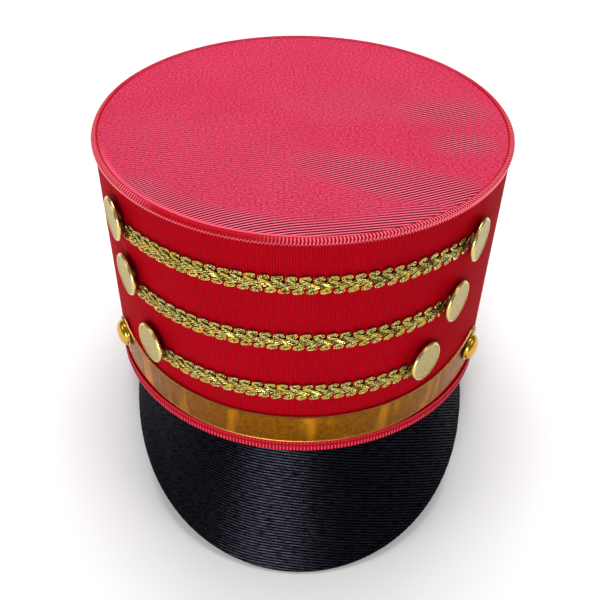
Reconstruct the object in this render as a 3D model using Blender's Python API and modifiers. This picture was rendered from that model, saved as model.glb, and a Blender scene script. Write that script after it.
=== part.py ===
"""Tall parade hat: a flared red crown with a flat top, three gold braids ending under flat buttons,
a gold strap held by two domed buttons, a red edge binding and a steep black peak.

Metres. In the hat's own frame +Z is the crown's axis, its bottom edge lies at Z = 0 and the peak
points along -Y. The hat empty then tips that frame back, so that the hat stands on the peak's
front edge and on the back of the crown's edge.
"""

from math import atan2, cos, pi, radians, sin, sqrt

import bmesh
import bpy
from mathutils import Matrix, Vector

# Clearance that touching pieces keep
GAP = 0.0003

# Crown: stiffened cloth tube, open below
CROWN_HEIGHT = 0.1199
CROWN_BOTTOM_RADIUS = 0.0930
CROWN_TOP_RADIUS = 0.0963
CROWN_WALL = 0.0020
CROWN_SEGMENTS = 80

# Rolled edge round the top, and the flat top inside it
RIM_HEIGHT = 0.0027
RIM_OVERHANG = 0.0009
TOP_THICKNESS = 0.0030
TOP_RECESS = 0.0003

# Binding folded round the crown's bottom edge
BINDING_HEIGHT = 0.0064
BINDING_THICKNESS = 0.0006
BINDING_SOLE = 0.0010
BINDING_CHAMFER = 0.0003

# Peak: a crescent cut from a cone, sewn under the binding
PEAK_LENGTH = 0.0611
PEAK_TIP_WIDTH = 0.0015
PEAK_HALF_ANGLE = radians(60.9)
PEAK_SLOPE = radians(60)
PEAK_THICKNESS = 0.0020
PEAK_INSET = 0.0004

# Gold strap round the lower front
STRAP_WIDTH = 0.0166
STRAP_THICKNESS = 0.0012
STRAP_RISE = 0.0090
STRAP_TAIL = 0.0105
STRAP_SEGMENTS = 72

# Looped gold braid, laid on the crown
BRAID_THICKNESS = 0.0018
BRAID_CORE_WIDTH = 0.0064
BRAID_LOOP = 0.0014
BRAID_PITCH = 0.0056
BRAID_STEPS = 4

# Flat buttons that end the braids
BUTTON_RADIUS = 0.0100
BUTTON_THICKNESS = 0.0018
BUTTON_BEVEL = 0.0006
BUTTON_LIP = 0.0007
BUTTON_DISH = 0.00025
BUTTON_SHANK_RADIUS = 0.0022
BUTTON_SEGMENTS = 24

# Domed buttons that hold the strap
DOME_RADIUS = 0.0072
DOME_HEIGHT = 0.0042
DOME_BRIM = 0.0008
DOME_SEGMENTS = 24
DOME_STEPS = 5

# Each braid's height at the front and how far its ends rise, and the angle from the peak's centre
# line and the height of the button at each end
BRAID_COLUMNS = ("name", "height", "end_rise", "left", "left_height", "right", "right_height")
BRAID_ROWS = (
    ("upper", 0.1008, 0.0008, radians(-56.0), 0.1041, radians(49.4), 0.1007),
    ("middle", 0.0698, 0.0030, radians(-52.9), 0.0769, radians(43.7), 0.0720),
    ("lower", 0.0397, 0.0024, radians(-45.3), 0.0446, radians(34.7), 0.0444),
)

# The strap buttons' angles from the peak's centre line, and their heights
STRAP_BUTTONS = (
    ("left", radians(-63.9), 0.0285),
    ("right", radians(59.7), 0.0259),
)


def remove_scene_objects():
    for obj in list(bpy.data.objects):
        bpy.data.objects.remove(obj, do_unlink=True)


def collection_for(name):
    made = bpy.data.collections.new(name)
    bpy.context.scene.collection.children.link(made)
    return made


def plain_material(name, colour, roughness, metallic=0.0):
    material = bpy.data.materials.new(name)
    material.use_nodes = True
    shader = material.node_tree.nodes["Principled BSDF"]
    shader.inputs["Base Color"].default_value = (*colour, 1.0)
    shader.inputs["Roughness"].default_value = roughness
    shader.inputs["Metallic"].default_value = metallic
    material.diffuse_color = (*colour, 1.0)
    return material


def red_ribbed_cloth():
    return plain_material("red_ribbed_cloth", (0.45, 0.008, 0.020), 0.60)


def red_satin():
    return plain_material("red_satin", (0.62, 0.030, 0.080), 0.45)


def black_ribbed_cloth():
    return plain_material("black_ribbed_cloth", (0.008, 0.009, 0.012), 0.50)


def gold_foil_strap():
    return plain_material("gold_foil_strap", (0.45, 0.23, 0.045), 0.28, 1.0)


def gold_thread():
    return plain_material("gold_thread", (0.62, 0.44, 0.10), 0.35, 1.0)


def pale_gold():
    return plain_material("pale_gold", (0.66, 0.54, 0.28), 0.38, 1.0)


def polished_brass():
    return plain_material("polished_brass", (0.68, 0.45, 0.10), 0.15, 1.0)


def crown_radius(height):
    """Outside radius of the crown's wall at a height above its bottom edge."""
    share = height / CROWN_HEIGHT
    return CROWN_BOTTOM_RADIUS + (CROWN_TOP_RADIUS - CROWN_BOTTOM_RADIUS) * share


def crown_normal(angle):
    """Outward direction of the crown's wall, square to its slightly flared side."""
    flare = (CROWN_TOP_RADIUS - CROWN_BOTTOM_RADIUS) / CROWN_HEIGHT
    return Vector((sin(angle), -cos(angle), -flare)).normalized()


def on_crown(angle, height, offset):
    """A point so far off the crown's wall. The angle runs from the front towards +X."""
    radius = crown_radius(height)
    foot = Vector((radius * sin(angle), -radius * cos(angle), height))
    return foot + offset * crown_normal(angle)


def add_object(name, mesh, material, collection, parent):
    mesh.materials.append(material)
    obj = bpy.data.objects.new(name, mesh)
    obj.parent = parent
    collection.objects.link(obj)
    return obj


def turned(name, profile, closed, segments, material, collection, parent):
    """A solid turned round Z from its (radius, height) profile, outer side from top to bottom."""
    mesh = bpy.data.meshes.new(name)
    count = len(profile)
    edges = [(i, i + 1) for i in range(count - 1)]
    if closed:
        edges.append((count - 1, 0))
    mesh.from_pydata([(radius, 0.0, height) for radius, height in profile], edges, [])
    obj = add_object(name, mesh, material, collection, parent)
    screw = obj.modifiers.new("turn", "SCREW")
    screw.axis = "Z"
    screw.angle = 2 * pi
    screw.steps = segments
    screw.render_steps = segments
    screw.use_merge_vertices = True
    screw.merge_threshold = 0.00001
    screw.use_smooth_shade = True
    return obj


def loft(name, rings, material, collection, parent, caps=True):
    """A solid through like rings of points, closed by a face at each end."""
    bm = bmesh.new()
    rows = [[bm.verts.new(point) for point in ring] for ring in rings]
    count = len(rows[0])
    for near, far in zip(rows, rows[1:]):
        for i in range(count):
            j = (i + 1) % count
            bm.faces.new((near[i], near[j], far[j], far[i]))
    if caps:
        bm.faces.new(rows[0][::-1])
        bm.faces.new(rows[-1])
    bmesh.ops.recalc_face_normals(bm, faces=bm.faces)
    mesh = bpy.data.meshes.new(name)
    bm.to_mesh(mesh)
    bm.free()
    mesh.shade_smooth()
    mesh.set_sharp_from_angle(angle=radians(40))
    return add_object(name, mesh, material, collection, parent)


def crown_wall(material, collection, hat):
    foot = BINDING_SOLE + GAP
    profile = (
        (crown_radius(CROWN_HEIGHT), CROWN_HEIGHT),
        (crown_radius(foot), foot),
        (crown_radius(foot) - CROWN_WALL, foot),
        (crown_radius(CROWN_HEIGHT) - CROWN_WALL, CROWN_HEIGHT),
    )
    return turned("crown_wall", profile, True, CROWN_SEGMENTS, material, collection, hat)


def rim_top():
    return CROWN_HEIGHT + GAP + RIM_HEIGHT


def top_rim(material, collection, hat):
    """A rolled edge over the wall's top: flat below, half an oval above and outside."""
    base = CROWN_HEIGHT + GAP
    inner = CROWN_TOP_RADIUS - CROWN_WALL
    outer = CROWN_TOP_RADIUS + RIM_OVERHANG
    middle = (inner + outer) / 2
    half = (outer - inner) / 2
    waist = base + RIM_HEIGHT * 0.45
    rise = rim_top() - waist
    profile = []
    steps = 6
    for i in range(steps + 1):
        turn = pi * i / steps
        profile.append((middle - half * cos(turn), waist + rise * sin(turn)))
    profile.append((outer - 0.25 * RIM_OVERHANG, base + 0.2 * (waist - base)))
    profile.append((outer - RIM_OVERHANG, base))
    profile.append((inner, base))
    return turned("top_rim", profile, True, CROWN_SEGMENTS, material, collection, hat)


def crown_top(material, collection, hat):
    radius = CROWN_TOP_RADIUS - CROWN_WALL - GAP
    flare = (CROWN_TOP_RADIUS - CROWN_BOTTOM_RADIUS) / CROWN_HEIGHT
    top = rim_top() - TOP_RECESS
    bottom = top - TOP_THICKNESS
    narrower = radius - flare * max(CROWN_HEIGHT - bottom, 0.0)
    profile = ((0.0, top), (radius, top), (narrower, bottom), (0.0, bottom))
    return turned("crown_top", profile, False, CROWN_SEGMENTS, material, collection, hat)


def bottom_binding(material, collection, hat):
    """A band of cloth folded round the wall's bottom edge, so its section is a deep U."""
    foot = BINDING_SOLE + GAP
    off = GAP + BINDING_THICKNESS
    outer_top = crown_radius(BINDING_HEIGHT)
    outer_foot = crown_radius(foot)
    cut = BINDING_CHAMFER
    profile = (
        (outer_top + off, BINDING_HEIGHT - cut),
        (crown_radius(0.0) + off, cut),
        (crown_radius(0.0) + off - cut, 0.0),
        (crown_radius(0.0) - CROWN_WALL - off + cut, 0.0),
        (crown_radius(0.0) - CROWN_WALL - off, cut),
        (outer_top - CROWN_WALL - off, BINDING_HEIGHT),
        (outer_top - CROWN_WALL - GAP, BINDING_HEIGHT),
        (outer_foot - CROWN_WALL - GAP, BINDING_SOLE),
        (outer_foot + GAP, BINDING_SOLE),
        (outer_top + GAP, BINDING_HEIGHT),
        (outer_top + off - cut, BINDING_HEIGHT),
    )
    return turned("bottom_binding", profile, True, CROWN_SEGMENTS, material, collection, hat)


def peak_root_radius():
    """Radius where the peak's outer face meets the binding's flat sole."""
    return CROWN_BOTTOM_RADIUS + GAP + BINDING_THICKNESS - BINDING_CHAMFER - PEAK_INSET


def peak_length_at(angle):
    share = 1.0 - (angle / PEAK_HALF_ANGLE) ** 2
    return PEAK_TIP_WIDTH + (PEAK_LENGTH - PEAK_TIP_WIDTH) * share


def peak_point(angle, length, depth):
    """A point down the peak from its root, and so deep under its outer face."""
    radius = peak_root_radius() + length * cos(PEAK_SLOPE) - depth * sin(PEAK_SLOPE)
    height = -GAP - length * sin(PEAK_SLOPE) - depth * cos(PEAK_SLOPE)
    return Vector((radius * sin(angle), -radius * cos(angle), height))


def peak(material, collection, hat):
    stations = 60
    steps = 6
    rings = []
    for i in range(stations + 1):
        angle = PEAK_HALF_ANGLE * (2 * i / stations - 1)
        length = peak_length_at(angle)
        outer = [peak_point(angle, length * j / steps, 0.0) for j in range(steps + 1)]
        inner = [peak_point(angle, length * j / steps, PEAK_THICKNESS) for j in range(steps, -1, -1)]
        rings.append(outer + inner)
    return loft("peak", rings, material, collection, hat)


def strap_height(angle):
    """Height of the strap's centre line, which climbs from the front to its two buttons."""
    left, right = STRAP_BUTTONS[0][1], STRAP_BUTTONS[1][1]
    middle, half = (left + right) / 2, (right - left) / 2
    front = BINDING_HEIGHT + GAP + STRAP_WIDTH / 2
    return front + STRAP_RISE * abs((angle - middle) / half) ** 3


def gold_strap(material, collection, hat):
    left = STRAP_BUTTONS[0][1] - STRAP_TAIL / CROWN_BOTTOM_RADIUS
    right = STRAP_BUTTONS[1][1] + STRAP_TAIL / CROWN_BOTTOM_RADIUS
    half = STRAP_WIDTH / 2
    rounding = half / CROWN_BOTTOM_RADIUS
    angles = []
    for i in range(9):
        angles.append(left + rounding * (1 - cos(pi / 2 * (i + 0.5) / 9)))
    for i in range(STRAP_SEGMENTS + 1):
        angles.append(left + rounding + (right - left - 2 * rounding) * i / STRAP_SEGMENTS)
    for i in range(8, -1, -1):
        angles.append(right - rounding * (1 - cos(pi / 2 * (i + 0.5) / 9)))
    rings = []
    for angle in angles:
        inside = min(angle - left, right - angle, rounding)
        reach = half * sqrt(1 - (1 - inside / rounding) ** 2)
        centre = strap_height(angle)
        rings.append(
            [
                on_crown(angle, centre - reach, GAP),
                on_crown(angle, centre + reach, GAP),
                on_crown(angle, centre + reach, GAP + STRAP_THICKNESS),
                on_crown(angle, centre - reach, GAP + STRAP_THICKNESS),
            ]
        )
    return loft("gold_strap", rings, material, collection, hat)


def braid_height(row, angle):
    middle, half = (row["left"] + row["right"]) / 2, (row["right"] - row["left"]) / 2
    return row["height"] + row["end_rise"] * ((angle - middle) / half) ** 4


def loop_reach(along, stagger):
    """Half the braid's width at a place along it: a row of round loops beside the core."""
    phase = along / BRAID_PITCH + stagger
    return BRAID_CORE_WIDTH / 2 + BRAID_LOOP * abs(sin(pi * phase))


def braid(row, material, collection, hat):
    radius = crown_radius(row["height"])
    shank = (BUTTON_SHANK_RADIUS + GAP) / radius
    left, right = row["left"] + shank, row["right"] - shank
    count = round((right - left) * radius / BRAID_PITCH * BRAID_STEPS)
    rings = []
    for i in range(count + 1):
        angle = left + (right - left) * i / count
        along = (angle - left) * radius
        centre = braid_height(row, angle)
        above = centre + loop_reach(along, 0.0)
        below = centre - loop_reach(along, 0.5)
        rings.append(
            [
                on_crown(angle, below, GAP),
                on_crown(angle, above, GAP),
                on_crown(angle, above, GAP + BRAID_THICKNESS / 2),
                on_crown(angle, centre, GAP + BRAID_THICKNESS),
                on_crown(angle, below, GAP + BRAID_THICKNESS / 2),
            ]
        )
    return loft("braid_" + row["name"], rings, material, collection, hat)


def seat_on_crown(obj, angle, height):
    """Stands a turned piece on the crown's wall, its axis square to the wall."""
    outward = crown_normal(angle)
    turn = outward.to_track_quat("Z", "Y").to_matrix().to_4x4()
    obj.matrix_local = Matrix.Translation(on_crown(angle, height, 0.0)) @ turn


def flat_button(name, angle, height, material, collection, hat):
    """A coin on a short shank: bevelled edge, narrow lip and a slightly sunk face."""
    under = GAP + BRAID_THICKNESS + GAP
    edge = BUTTON_RADIUS
    top = under + BUTTON_THICKNESS
    profile = (
        (0.0, top - BUTTON_DISH),
        (edge - BUTTON_LIP - BUTTON_BEVEL - BUTTON_DISH, top - BUTTON_DISH),
        (edge - BUTTON_LIP - BUTTON_BEVEL, top),
        (edge - BUTTON_BEVEL, top),
        (edge, top - BUTTON_BEVEL),
        (edge, under + BUTTON_BEVEL),
        (edge - BUTTON_BEVEL, under),
        (BUTTON_SHANK_RADIUS, under),
        (BUTTON_SHANK_RADIUS, GAP),
        (0.0, GAP),
    )
    obj = turned(name, profile, False, BUTTON_SEGMENTS, material, collection, hat)
    seat_on_crown(obj, angle, height)
    return obj


def domed_button(name, angle, height, material, collection, hat):
    """A hollow-looking dome with a narrow brim, standing on the strap."""
    seat = GAP + STRAP_THICKNESS + GAP
    dome = DOME_RADIUS - DOME_BRIM
    profile = []
    for i in range(DOME_STEPS + 1):
        turn = pi / 2 * i / DOME_STEPS
        profile.append((dome * sin(turn), seat + DOME_BRIM + (DOME_HEIGHT - DOME_BRIM) * cos(turn)))
    profile.append((DOME_RADIUS, seat + DOME_BRIM / 2))
    profile.append((DOME_RADIUS - DOME_BRIM / 2, seat))
    profile.append((0.0, seat))
    obj = turned(name, profile, False, DOME_SEGMENTS, material, collection, hat)
    seat_on_crown(obj, angle, height)
    return obj


def rest_tilt():
    """The tilt at which the peak's front edge and the back of the binding's sole touch one plane."""
    front = peak_point(0.0, peak_length_at(0.0), PEAK_THICKNESS)
    back = CROWN_BOTTOM_RADIUS + GAP + BINDING_THICKNESS - BINDING_CHAMFER
    return atan2(-front.z, back - front.y)


def stand_up(hat, pieces):
    """Tips the hat back and stands it with the middle of its box's bottom at the origin."""
    hat.rotation_euler = (-rest_tilt(), 0.0, 0.0)
    bpy.context.view_layer.update()
    graph = bpy.context.evaluated_depsgraph_get()
    low = Vector((1.0, 1.0, 1.0))
    high = Vector((-1.0, -1.0, -1.0))
    for piece in pieces:
        evaluated = piece.evaluated_get(graph)
        mesh = evaluated.to_mesh()
        for vertex in mesh.vertices:
            point = evaluated.matrix_world @ vertex.co
            low = Vector(map(min, low, point))
            high = Vector(map(max, high, point))
        evaluated.to_mesh_clear()
    hat.location = (-(low.x + high.x) / 2, -(low.y + high.y) / 2, -low.z)
    bpy.context.view_layer.update()


def build():
    remove_scene_objects()
    collection = collection_for("honor_guard_hat")
    hat = bpy.data.objects.new("hat", None)
    collection.objects.link(hat)

    cloth = red_ribbed_cloth()
    gold = pale_gold()
    thread = gold_thread()
    brass = polished_brass()
    pieces = [
        crown_wall(cloth, collection, hat),
        crown_top(red_satin(), collection, hat),
        top_rim(cloth, collection, hat),
        bottom_binding(cloth, collection, hat),
        peak(black_ribbed_cloth(), collection, hat),
        gold_strap(gold_foil_strap(), collection, hat),
    ]
    for values in BRAID_ROWS:
        row = dict(zip(BRAID_COLUMNS, values))
        pieces.append(braid(row, thread, collection, hat))
        for side in ("left", "right"):
            name = "button_" + row["name"] + "_" + side
            angle, height = row[side], row[side + "_height"]
            pieces.append(flat_button(name, angle, height, gold, collection, hat))
    for side, angle, height in STRAP_BUTTONS:
        name = "strap_button_" + side
        pieces.append(domed_button(name, angle, height, brass, collection, hat))
    stand_up(hat, pieces)


build()
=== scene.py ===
from math import cos, pi, radians, sin

import bmesh
import bpy
import numpy as np
from mathutils import Matrix, Vector


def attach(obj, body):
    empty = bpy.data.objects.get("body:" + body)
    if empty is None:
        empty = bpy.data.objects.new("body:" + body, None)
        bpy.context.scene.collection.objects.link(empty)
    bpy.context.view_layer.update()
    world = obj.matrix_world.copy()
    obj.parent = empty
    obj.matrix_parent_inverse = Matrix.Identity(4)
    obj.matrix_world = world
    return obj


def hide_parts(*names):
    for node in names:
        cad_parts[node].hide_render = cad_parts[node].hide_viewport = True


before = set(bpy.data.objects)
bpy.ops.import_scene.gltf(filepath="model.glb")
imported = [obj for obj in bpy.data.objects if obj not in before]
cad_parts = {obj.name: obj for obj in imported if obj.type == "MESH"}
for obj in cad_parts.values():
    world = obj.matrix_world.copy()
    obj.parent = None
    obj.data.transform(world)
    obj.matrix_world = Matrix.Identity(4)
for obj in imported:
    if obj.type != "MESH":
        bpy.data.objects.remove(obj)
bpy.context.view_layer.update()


# Crown wall
# A tall tube of stiffened buckram, slightly wider at the top, covered in red polyester faille. The
# cloth's fine ribs run up and down, and it is pulled into slight puckers where buttons are sewn on.

GAP = 0.0003
CROWN_HEIGHT = 0.1199
CROWN_BOTTOM_RADIUS = 0.0930
CROWN_TOP_RADIUS = 0.0963
CROWN_WALL = 0.0020
CROWN_FOOT = 0.0013
WALL_RIB_PITCH = 0.0011
WALL_RIB_DEPTH = 0.00007
WALL_SWAY = 0.00030
WALL_SWAY_SIZE = 0.035
WALL_ROWS = 16

# The hat's own axes lean back by this much when it stands on its peak, and move by this much.
REST_TILT = radians(14.113664)
REST_SHIFT = np.array([0.0, 0.00455902, 0.02282401])


def stand(points):
    """Takes points from the hat's own axes, with +Z up the crown, to where the hat stands."""
    x, y, z = np.moveaxis(np.asarray(points, float), -1, 0)
    c, s = np.cos(REST_TILT), np.sin(REST_TILT)
    return np.stack([x, y * c + z * s, -y * s + z * c], axis=-1) + REST_SHIFT


def crown_radius(height):
    return CROWN_BOTTOM_RADIUS + (CROWN_TOP_RADIUS - CROWN_BOTTOM_RADIUS) * height / CROWN_HEIGHT


def on_crown(angle, height, off):
    """Points so far off the crown's wall. The angle runs from the front towards +X."""
    flare = (CROWN_TOP_RADIUS - CROWN_BOTTOM_RADIUS) / CROWN_HEIGHT
    length = np.hypot(1.0, flare)
    radius = crown_radius(height) + off / length
    z = height - off * flare / length
    return np.stack([radius * np.sin(angle), -radius * np.cos(angle), z], axis=-1)


def linear(colour):
    """An sRGB hex colour as linear RGBA."""
    values = [int(colour[i : i + 2], 16) / 255 for i in (1, 3, 5)]
    values = [v / 12.92 if v <= 0.04045 else ((v + 0.055) / 1.055) ** 2.4 for v in values]
    return (*values, 1.0)


def add(tree, kind, sockets=None, **settings):
    """Adds a node. A socket takes a value, another node's first output in use, or one output."""
    node = tree.nodes.new(kind)
    for setting, value in settings.items():
        setattr(node, setting, value)
    for key, value in (sockets or {}).items():
        if isinstance(key, int):
            socket = node.inputs[key]
        else:
            socket = next(s for s in node.inputs if s.enabled and s.name == key)
        if isinstance(value, bpy.types.Node):
            value = next(s for s in value.outputs if s.enabled)
        if isinstance(value, bpy.types.NodeSocket):
            tree.links.new(value, socket)
        else:
            socket.default_value = value
    return node


def new_tree(name, **inputs):
    """A Geometry Nodes tree with named inputs. Returns it and its input and output nodes."""
    tree = bpy.data.node_groups.new(name, "GeometryNodeTree")
    kinds = {float: "NodeSocketFloat", int: "NodeSocketInt"}
    tree.interface.new_socket("Geometry", in_out="INPUT", socket_type="NodeSocketGeometry")
    for label, value in inputs.items():
        kind = kinds.get(type(value), "NodeSocketMaterial")
        socket = tree.interface.new_socket(label.replace("_", " "), in_out="INPUT", socket_type=kind)
        if value is not None:
            socket.default_value = value
    tree.interface.new_socket("Geometry", in_out="OUTPUT", socket_type="NodeSocketGeometry")
    return tree, add(tree, "NodeGroupInput"), add(tree, "NodeGroupOutput")


def end_tree(tree, given, end, geometry):
    """Closes a tree with Realize Instances and Set Material, as the export needs."""
    real = add(tree, "GeometryNodeRealizeInstances", {"Geometry": geometry})
    sockets = {"Geometry": real, "Material": given.outputs["Material"]}
    done = add(tree, "GeometryNodeSetMaterial", sockets)
    tree.links.new(done.outputs[0], end.inputs[0])


def run_tree(name, tree, mesh=None, **values):
    """Runs a tree on a mesh and returns the plain mesh that it makes."""
    source = bpy.data.objects.new(name, mesh or bpy.data.meshes.new(name + "_start"))
    bpy.context.scene.collection.objects.link(source)
    modifier = source.modifiers.new(name, "NODES")
    modifier.node_group = tree
    for item in tree.interface.items_tree:
        label = item.name.replace(" ", "_")
        if item.in_out == "INPUT" and label in values:
            modifier[item.identifier] = values[label]
    graph = bpy.context.evaluated_depsgraph_get()
    made = bpy.data.meshes.new_from_object(
        source.evaluated_get(graph), preserve_all_data_layers=True, depsgraph=graph
    )
    source.modifiers.remove(modifier)
    bpy.data.objects.remove(source)
    return made


def points_of(mesh):
    points = np.empty(len(mesh.vertices) * 3)
    mesh.vertices.foreach_get("co", points)
    return points.reshape(-1, 3)


def put_piece(name, mesh, points, material):
    """Links a mesh as a piece, its points given in the hat's own axes."""
    mesh.name = name
    mesh.vertices.foreach_set("co", stand(points).ravel())
    mesh.shade_smooth()
    mesh.set_sharp_from_angle(angle=radians(50))
    if not mesh.materials:
        mesh.materials.append(material)
    mesh.materials[0] = material
    mesh.update()
    piece = bpy.data.objects.new(name, mesh)
    bpy.context.scene.collection.objects.link(piece)
    return piece


def new_material(name, **sockets):
    """A material whose shader's own sockets hold what is the same all over."""
    material = bpy.data.materials.new(name)
    material.use_nodes = True
    shader = material.node_tree.nodes["Principled BSDF"]
    for label, value in sockets.items():
        shader.inputs[label.replace("_", " ")].default_value = value
    return material, material.node_tree, shader


def rib_crest(tree, phase, turn=pi):
    """One along each rib's crest and nought in each groove, from the ribs' phase."""
    wave = add(tree, "ShaderNodeMath", {0: phase, 1: turn}, operation="MULTIPLY")
    wave = add(tree, "ShaderNodeMath", {0: wave}, operation="COSINE")
    return add(tree, "ShaderNodeMath", {0: wave}, operation="ABSOLUTE")


def layered(tree, ground, *layers):
    """Lays colours over a ground colour. Each layer is its share, then its own ground and layers."""
    colour = linear(ground)
    for share, *over in layers:
        over = layered(tree, *over) if len(over) > 1 else linear(over[0])
        sockets = {"Factor": share, "A": colour, "B": over}
        colour = add(tree, "ShaderNodeMix", sockets, data_type="RGBA")
    return colour


def finish(tree, shader, colour, height=None, strength=0.3, distance=0.0002):
    """Gives the shader its colour and, from a height, its bump."""
    tree.links.new(colour.outputs[2], shader.inputs["Base Color"])
    if height:
        sockets = {"Height": height, "Strength": strength, "Distance": distance}
        bump = add(tree, "ShaderNodeBump", sockets)
        tree.links.new(bump.outputs[0], shader.inputs["Normal"])


# Polyester faille: dyed, woven with a matt weft rib, so it has a broad soft sheen and a lighter
# bloom at grazing angles. IOR 1.5, roughness about 0.6.
red_faille, tree, shader = new_material(
    "red_faille",
    Roughness=0.62,
    IOR=1.5,
    Specular_IOR_Level=0.015,
    Sheen_Weight=0.005,
    Sheen_Roughness=0.35,
    Sheen_Tint=linear("#FF3C50"),
)
cloth = add(tree, "ShaderNodeUVMap", uv_map="UVMap")
split = add(tree, "ShaderNodeSeparateXYZ", {0: cloth})
crest = rib_crest(tree, split.outputs[0], pi / (1000 * WALL_RIB_PITCH))
# Threads 0.25 mm apart along each rib, drawn at 0.5 mm so that they show.
stretch = add(tree, "ShaderNodeMapping", {"Vector": cloth, "Scale": (0.9, 0.12, 1.0)})
slub = add(tree, "ShaderNodeTexNoise", {"Vector": stretch, "Scale": 1.4, "Detail": 3.0})
grain = add(tree, "ShaderNodeTexNoise", {"Vector": cloth, "Scale": 2.0, "Detail": 2.0})
cloudy = add(tree, "ShaderNodeTexNoise", {"Vector": cloth, "Scale": 0.03, "Detail": 2.0})
# The rib crests are painted lighter and the grooves darker, as painted shade, mixed with the slubs'
# own tone.
level = add(tree, "ShaderNodeMath", {0: crest, 1: 0.55}, operation="MULTIPLY")
level = add(tree, "ShaderNodeMath", {0: slub, 1: 0.55, 2: level}, operation="MULTIPLY_ADD")
cloud_range = {"Value": cloudy, "From Min": 0.3, "From Max": 0.7, "To Max": 0.22}
shade = add(tree, "ShaderNodeMapRange", cloud_range)
red = layered(tree, "#6E0009", (level, "#BC0619"), (shade, "#86000C"))
height = add(tree, "ShaderNodeMath", {0: grain, 1: 0.5, 2: slub}, operation="MULTIPLY_ADD")
finish(tree, shader, red, height, strength=0.25)

# The tube: rows up the outside, then one row each for the inside's top and foot and for closing.
tree, given, end = new_tree(
    "ribbed_tube",
    Height=0.1,
    Foot=0.0,
    Bottom_Radius=0.1,
    Top_Radius=0.1,
    Wall=0.002,
    Ribs=100,
    Rib_Depth=0.0001,
    Rows=8,
    Sway=0.0,
    Sway_Size=0.03,
    Seed=0.0,
    Material=None,
)
size = given.outputs
columns = add(tree, "ShaderNodeMath", {0: size["Ribs"], 1: 4.0, 2: 1.0}, operation="MULTIPLY_ADD")
rows = add(tree, "ShaderNodeMath", {0: size["Rows"], 1: 4.0}, operation="ADD")
sheet_size = {"Size X": 1.0, "Size Y": 1.0, "Vertices X": columns, "Vertices Y": rows}
sheet = add(tree, "GeometryNodeMeshGrid", sheet_size)
place = add(tree, "ShaderNodeSeparateXYZ", {0: add(tree, "GeometryNodeInputPosition")})
angle = add(tree, "ShaderNodeMath", {0: place.outputs[0], 1: 2 * pi}, operation="MULTIPLY")
share = add(tree, "ShaderNodeMath", {0: place.outputs[1], 1: 0.5}, operation="ADD")
last = add(tree, "ShaderNodeMath", {0: rows, 1: 1.0}, operation="SUBTRACT")
row = add(tree, "ShaderNodeMath", {0: share, 1: last}, operation="MULTIPLY")
row = add(tree, "ShaderNodeMath", {0: row}, operation="ROUND")
rise = add(tree, "ShaderNodeMath", {0: row, 1: size["Rows"]}, operation="DIVIDE")
rise = add(tree, "ShaderNodeMath", {0: rise, 1: 1.0}, operation="MINIMUM")
turned_in = add(tree, "ShaderNodeMath", {0: size["Rows"], 1: 1.5}, operation="ADD")
low = add(tree, "ShaderNodeMath", {0: row, 1: turned_in}, operation="GREATER_THAN")
inside = add(tree, "ShaderNodeMath", {0: row, 1: turned_in, 2: 0.6}, operation="COMPARE")
high = add(tree, "ShaderNodeMath", {0: 1.0, 1: low}, operation="SUBTRACT")
rise = add(tree, "ShaderNodeMath", {0: rise, 1: high}, operation="MULTIPLY")
span = add(tree, "ShaderNodeMath", {0: size["Height"], 1: size["Foot"]}, operation="SUBTRACT")
level = add(tree, "ShaderNodeMath", {0: rise, 1: span, 2: size["Foot"]}, operation="MULTIPLY_ADD")
bottom, top = size["Bottom Radius"], size["Top Radius"]
flare = add(tree, "ShaderNodeMath", {0: top, 1: bottom}, operation="SUBTRACT")
part = add(tree, "ShaderNodeMath", {0: level, 1: size["Height"]}, operation="DIVIDE")
radius = add(tree, "ShaderNodeMath", {0: part, 1: flare, 2: bottom}, operation="MULTIPLY_ADD")
wall = add(tree, "ShaderNodeMath", {0: inside, 1: size["Wall"]}, operation="MULTIPLY")
radius = add(tree, "ShaderNodeMath", {0: radius, 1: wall}, operation="SUBTRACT")
outside = add(tree, "ShaderNodeMath", {0: 1.0, 1: inside}, operation="SUBTRACT")
half = add(tree, "ShaderNodeMath", {0: size["Ribs"], 1: 0.5}, operation="MULTIPLY")
rib = rib_crest(tree, angle, half)
rib = add(tree, "ShaderNodeMath", {0: rib, 1: 1.0}, operation="SUBTRACT")
rib = add(tree, "ShaderNodeMath", {0: rib, 1: size["Rib Depth"]}, operation="MULTIPLY")
rib = add(tree, "ShaderNodeMath", {0: rib, 1: outside}, operation="MULTIPLY")
radius = add(tree, "ShaderNodeMath", {0: radius, 1: rib}, operation="ADD")
back = add(tree, "ShaderNodeMath", {0: radius, 1: -1.0}, operation="MULTIPLY")
arm = add(tree, "ShaderNodeCombineXYZ", {1: back, 2: level})
swung = {"Vector": arm, "Angle": angle}
spot = add(tree, "ShaderNodeVectorRotate", swung, rotation_type="Z_AXIS")
around = 1000 * CROWN_BOTTOM_RADIUS
cloth_x = add(tree, "ShaderNodeMath", {0: angle, 1: around}, operation="MULTIPLY")
cloth_y = add(tree, "ShaderNodeMath", {0: level, 1: 1000.0}, operation="MULTIPLY")
cloth_xy = add(tree, "ShaderNodeCombineXYZ", {0: cloth_x, 1: cloth_y})
marks = {"Geometry": sheet, "Name": "UVMap", "Value": cloth_xy}
marked = add(
    tree, "GeometryNodeStoreNamedAttribute", marks, data_type="FLOAT2", domain="CORNER"
)
placed = add(tree, "GeometryNodeSetPosition", {"Geometry": marked, "Position": spot})
detail = add(tree, "ShaderNodeMath", {0: 1.0, 1: size["Sway Size"]}, operation="DIVIDE")
drift = {"W": size["Seed"], "Scale": detail, "Detail": 1.0}
drift = add(tree, "ShaderNodeTexNoise", drift, noise_dimensions="4D")
drift = add(tree, "ShaderNodeMath", {0: drift, 1: 0.5}, operation="SUBTRACT")
drift = add(tree, "ShaderNodeMath", {0: drift, 1: size["Sway"]}, operation="MULTIPLY")
where = add(tree, "GeometryNodeInputPosition")
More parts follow.
